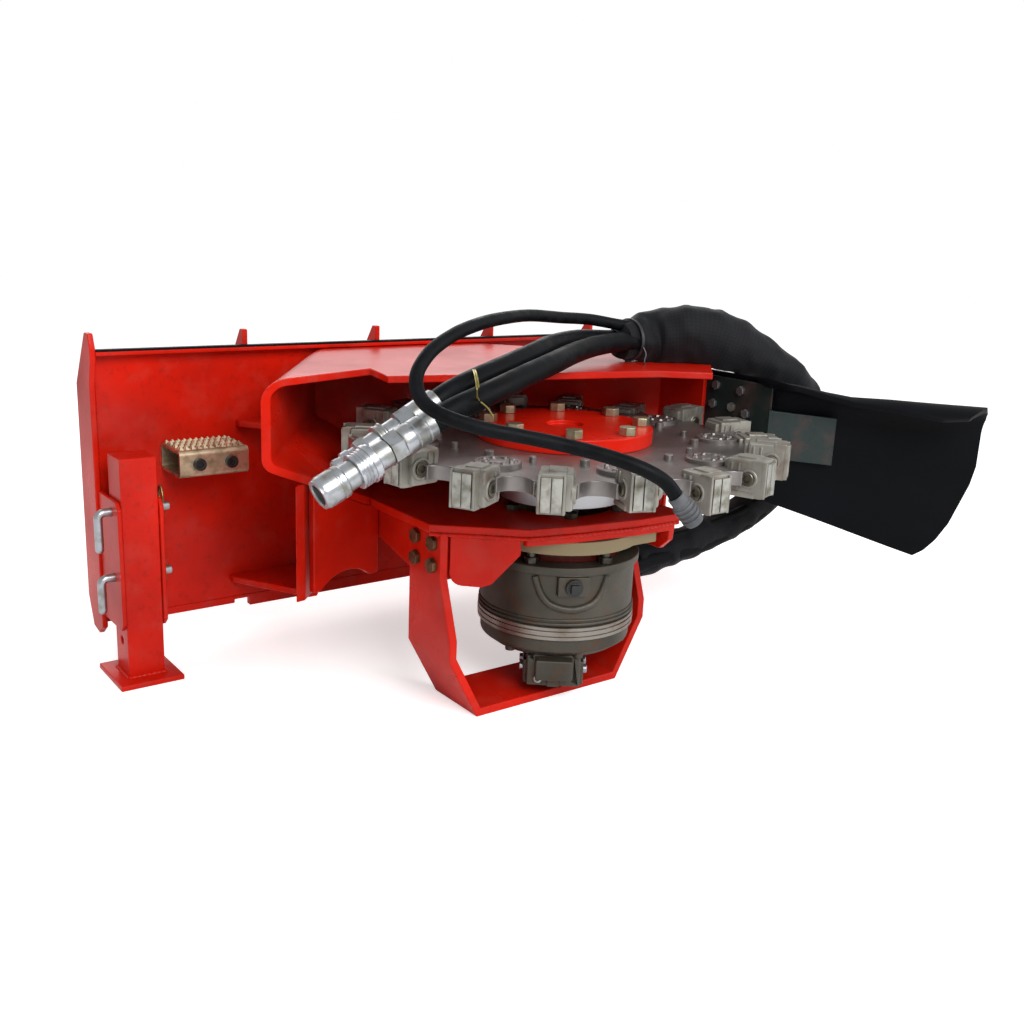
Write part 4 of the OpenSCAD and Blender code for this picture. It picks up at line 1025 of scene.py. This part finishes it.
def motor_band():
    """Machined split between the housing and the end cap: three lands with grooves between them."""
    low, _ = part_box("motor_band")
    z = low.z / MM
    lands = [(z + h, r) for h, r in (
        (0, 74), (0, 113), (1, 114.6), (5.6, 114.6), (6, 112.8), (7.2, 112.8), (7.6, 115), (13.4, 115),
        (13.8, 113), (15, 113), (15.4, 114.6), (19, 114.6), (20, 113), (20, 74), (0, 74))]
    bm = turned(lands, Matrix.Identity(4), 128)
    show("band_lands", bm, machined_steel("band_steel", "#98928A", "#5E4426", 0.7), nodes=["motor_band"],
         smooth=35)


def valve_details(iron):
    """Cap screws, hex plugs and the bolted cover of the port block."""
    turn = Matrix.Rotation(math.radians(BLOCK_TURN), 4, "Z")
    out = Matrix.Rotation(math.pi / 2, 4, "Y")
    bright = bmesh.new()
    for y, z, radius in ((-22, 40, 6.5), (18, 50, 8.5)):
        place = turn @ Matrix.Translation(Vector((94, y, z)) * MM) @ out
        turned([(-1, 0.0), (-1, radius), (4, radius), (5, radius - 1), (5, radius * 0.5), (2, radius * 0.45),
                (2, 0.0)], place, 24, bright)
    for side in (-1, 1):
        for x in (-40, 2, 30, 62):
            place = turn @ Matrix.Translation(Vector((x, side * (44 if 20 <= x <= 72 else 38), 44)) * MM)
            place = place @ Matrix.Rotation(-side * math.pi / 2, 4, "X")
            turned([(-1, 0.0), (-1, 6.2), (4, 6.2), (5, 5.2), (5, 3.2), (1.5, 3.0), (1.5, 0.0)],
                   place, 20, bright)
    show("valve_screws", bright, zinc_material(), smooth=35)
    dark = bmesh.new()
    chamfered(dark, (78, -9, 28), (99, 9, 70), 2.5)
    chamfered(dark, (-58, -46, 34), (-16, 46, 62), 4.0)
    chamfered(dark, (8, -40, 24), (16, 40, 66), 2.0)
    bmesh.ops.transform(dark, matrix=turn, verts=dark.verts)
    show("valve_cover", dark, iron, smooth=35)


class GRINDER_OT_motor(bpy.types.Operator):
    """Finishes the hydraulic motor under the floor"""
    bl_idname = "grinder.motor"
    bl_label = "Motor"

    def execute(self, context):
        iron = cast_iron("motor_casting", "#565249", 0.45)
        rounded("motor_housing", iron, 1.6 * MM)
        rounded("motor_end_cap", iron, 2.2 * MM)
        rounded("port_block", iron, 2.4 * MM)
        motor_ribs(iron)
        motor_band()
        valve_details(iron)
        rounded("mounting_flange", machined_steel("flange_iron", "#86807A", "#5A4428", 0.7), 1.2 * MM)
        rounded("spacer_ring", powder_coat("red_oxide_primer", linear("#5A1C16"), 0.2), 1.0 * MM)
        rounded("motor_bolts", zinc_plate("stud_steel", "#5C5950", "#33302B", 0.42), 0.7 * MM, segments=2)
        rounded("port_fittings", zinc_material(), 0.8 * MM, segments=2, angle=40)
        rounded("case_plug", oxide_material(), 0.8 * MM, segments=2)
        finish_node("shaft_bearings", machined_steel("bearing_steel", "#57565A", "#3C352C", 0.5))
        finish_node("shaft_seal", sheet_rubber("shade_strip_and_seal_rubber", linear("#101012")))
        return {"FINISHED"}


# ---------- deflector ----------
FLAP_START, FLAP_END = -180, 330         # run along the sheet, zero at the bracket's elbow
FLAP_LOW = [(-180, 300), (-114, 262), (0, 258), (330, 151)]
FLAP_CORNERS = [[(222, 170), (244, 176), (264, 187), (281, 204), (299, 232), (324, 296), (331, 330)],
                [(331, 400), (326, 424), (316, 444), (300, 462), (284, 476)]]
ELBOW = 25                               # run on each side of the elbow that is bent
FLAP_WALL = 8 * MM
WING_TURN = math.radians(-36.3)
WING = Vector((math.cos(WING_TURN), math.sin(WING_TURN), 0))
WING_BACK = Vector((-WING.y, WING.x, 0))
CURL = 46                                # radius of the curl, in millimetres
# Pairs of run and degrees, and pairs of run and the crest's height
CURL_TURN = [(-45, 0), (-10, 50), (20, 100), (100, 115), (235, 140), (300, 128), (330, 100)]
CREST = [(-45, 447), (0, 448), (70, 434), (110, 428), (170, 427), (330, 420)]


def between(points, at):
    """Value on a line through points of (place, value)."""
    for (x0, y0), (x1, y1) in zip(points, points[1:]):
        if at <= x1:
            return y0 + (y1 - y0) * max(0.0, (at - x0)) / (x1 - x0)
    return points[-1][1]


def flap_curl(run):
    """Height where the curl begins and the angle that it turns through, at a run along the sheet."""
    angle = math.radians(between(CURL_TURN, run))
    return between(CREST, run) - CURL * (math.sin(angle) if angle < math.pi / 2 else 1.0), angle


def flap_place(run, height):
    """Point of the sheet's middle, in millimetres: it turns at the elbow and curls forwards at the top."""
    wing_start = Vector((341.1, -84.3, 0))
    if run < -ELBOW:
        point, back = Vector((338, -89 - run, 0)), Vector((1, 0, 0))
    elif run > ELBOW:
        point, back = wing_start + WING * run, WING_BACK
    else:
        share = (run + ELBOW) / (2 * ELBOW)
        one, corner, two = Vector((338, -64, 0)), Vector((338, -82, 0)), wing_start + WING * ELBOW
        point = one * (1 - share) ** 2 + corner * 2 * share * (1 - share) + two * share ** 2
        back = Vector((1, 0, 0)).lerp(WING_BACK, share).normalized()
    flat, _ = flap_curl(run)
    if height > flat:
        turn = (height - flat) / CURL
        point = point - back * CURL * (1 - math.cos(turn))
        height = flat + CURL * math.sin(turn)
    wave = 3.0 * math.sin(run / 46) * min(1.0, max(0.0, run / 120))
    return point + back * wave + Vector((0, 0, height))


def rubber_flap():
    """Cut sheet of rubber, bent round the bracket, its free upper edge rolled over."""
    bm = bmesh.new()
    bmesh.ops.create_grid(bm, x_segments=120, y_segments=56, size=0.5)
    for vert in bm.verts:
        run = FLAP_START + (vert.co.x + 0.5) * (FLAP_END - FLAP_START)
        flat, angle = flap_curl(run)
        low, high = between(FLAP_LOW, run), flat + CURL * angle
        vert.co = (run, low + (vert.co.y + 0.5) * (high - low), 0)
    for corner in FLAP_CORNERS:
        for (x0, y0), (x1, y1) in zip(corner, corner[1:]):
            bmesh.ops.bisect_plane(bm, geom=bm.verts[:] + bm.edges[:] + bm.faces[:], dist=1e-4,
                                   plane_co=(x0, y0, 0), plane_no=(y1 - y0, x0 - x1, 0), clear_outer=True)
    for vert in bm.verts:
        vert.co = flap_place(vert.co.x, vert.co.y) * MM
    rubber = sheet_rubber("flap_rubber", tuple(bpy.context.scene.grinder_colours.rubber))
    flap = show("rubber_flap", bm, rubber, nodes=["deflector_flap"], smooth=50, weighted=False)
    wall = flap.modifiers.new("Wall", "SOLIDIFY")
    wall.thickness = FLAP_WALL
    wall.offset = 0.0
    edge = flap.modifiers.new("Cut edge", "BEVEL")
    edge.width = 1.2 * MM
    edge.segments = 2
    edge.limit_method = "ANGLE"
    edge.angle_limit = math.radians(50)


class GRINDER_OT_deflector(bpy.types.Operator):
    """Finishes the deflector's bracket and bolts and models its rubber flap"""
    bl_idname = "grinder.deflector"
    bl_label = "Deflector"

    def execute(self, context):
        rounded("deflector_bracket", powder_coat("bracket_paint", linear("#26302F"), 0.15), 1.2 * MM)
        rounded("deflector_bolts", zinc_material(), 0.6 * MM, segments=2)
        rubber_flap()
        return {"FINISHED"}


# ---------- stage ----------
def area_light(name, at, towards, size, power):
    """Soft white rectangular light aimed at a point."""
    data = bpy.data.lights.new(name, "AREA")
    data.shape = "RECTANGLE"
    data.size, data.size_y = size
    data.energy = power
    lamp = bpy.data.objects.new(name, data)
    lamp.matrix_world = along_axis(at, Vector(at) - Vector(towards))
    bpy.context.scene.collection.objects.link(lamp)


class GRINDER_OT_stage(bpy.types.Operator):
    """Lays a plain pale floor and sets soft studio lights"""
    bl_idname = "grinder.stage"
    bl_label = "Stage"

    def execute(self, context):
        bm = bmesh.new()
        bmesh.ops.create_grid(bm, x_segments=1, y_segments=1, size=9.0)
        mesh = bpy.data.meshes.new("floor")
        bm.to_mesh(mesh)
        bm.free()
        floor = bpy.data.objects.new("floor", mesh)
        material, tree = fresh("studio_floor")
        if tree:
            lift = add(tree, "ShaderNodeLightPath", {}).outputs["Is Camera Ray"]
            glow = add(tree, "ShaderNodeMapRange", {"Value": lift, "To Min": 0.0, "To Max": 0.5})
            shade(tree, {"Base Color": linear("#F4F4F4"), "Roughness": 0.9, "Specular IOR Level": 0.0,
                         "Emission Color": (1.0, 1.0, 1.0, 1.0), "Emission Strength": glow.outputs[0]})
        mesh.materials.append(material)
        context.scene.collection.objects.link(floor)
        world = bpy.data.worlds.new("studio")
        world.use_nodes = True
        sky = world.node_tree
        ray = add(sky, "ShaderNodeLightPath", {})
        level = add(sky, "ShaderNodeMapRange",
                    {"Value": ray.outputs["Is Camera Ray"], "To Min": 0.58, "To Max": 1.0})
        back = sky.nodes["Background"]
        back.inputs["Color"].default_value = (1.0, 1.0, 1.0, 1.0)
        sky.links.new(level.outputs[0], back.inputs["Strength"])
        context.scene.world = world
        context.scene.view_settings.view_transform = "Standard"
        aim = (0.0, 0.1, 0.3)           # middle of the part, in metres
        area_light("key", (-0.7, -3.0, 2.5), aim, (1.8, 1.8), 112)
        area_light("fill", (2.2, -1.9, 1.5), aim, (1.6, 1.6), 22)
        area_light("back", (0.8, 2.6, 1.7), aim, (3.0, 1.4), 30)
        return {"FINISHED"}


OPERATORS = [GRINDER_OT_camera, GRINDER_OT_couplers, GRINDER_OT_sleeve, GRINDER_OT_hoses, GRINDER_OT_frame,
             GRINDER_OT_stand, GRINDER_OT_cutter, GRINDER_OT_motor, GRINDER_OT_deflector, GRINDER_OT_stage]


class GRINDER_PT_panel(bpy.types.Panel):
    """Lists the grinder's sizes, colours and pieces"""
    bl_label = "Stump Grinder"
    bl_idname = "GRINDER_PT_panel"
    bl_space_type = "VIEW_3D"
    bl_region_type = "UI"
    bl_category = "Grinder"

    def draw(self, context):
        for group in (context.scene.grinder_sizes, context.scene.grinder_colours):
            for name in group.bl_rna.properties.keys():
                if name not in ("rna_type", "name"):
                    self.layout.prop(group, name)
        for operator in OPERATORS:
            self.layout.operator(operator.bl_idname)


CLASSES = [GrinderSizes, GrinderColours, *OPERATORS, GRINDER_PT_panel]


def register():
    for item in CLASSES:
        bpy.utils.register_class(item)
    bpy.types.Scene.grinder_sizes = bpy.props.PointerProperty(type=GrinderSizes)
    bpy.types.Scene.grinder_colours = bpy.props.PointerProperty(type=GrinderColours)


def unregister():
    del bpy.types.Scene.grinder_colours
    del bpy.types.Scene.grinder_sizes
    for item in reversed(CLASSES):
        bpy.utils.unregister_class(item)


def main():
    register()
    for operator in OPERATORS:
        group, action = operator.bl_idname.split(".")
        getattr(getattr(bpy.ops, group), action)()


if __name__ == "__main__":
    main()
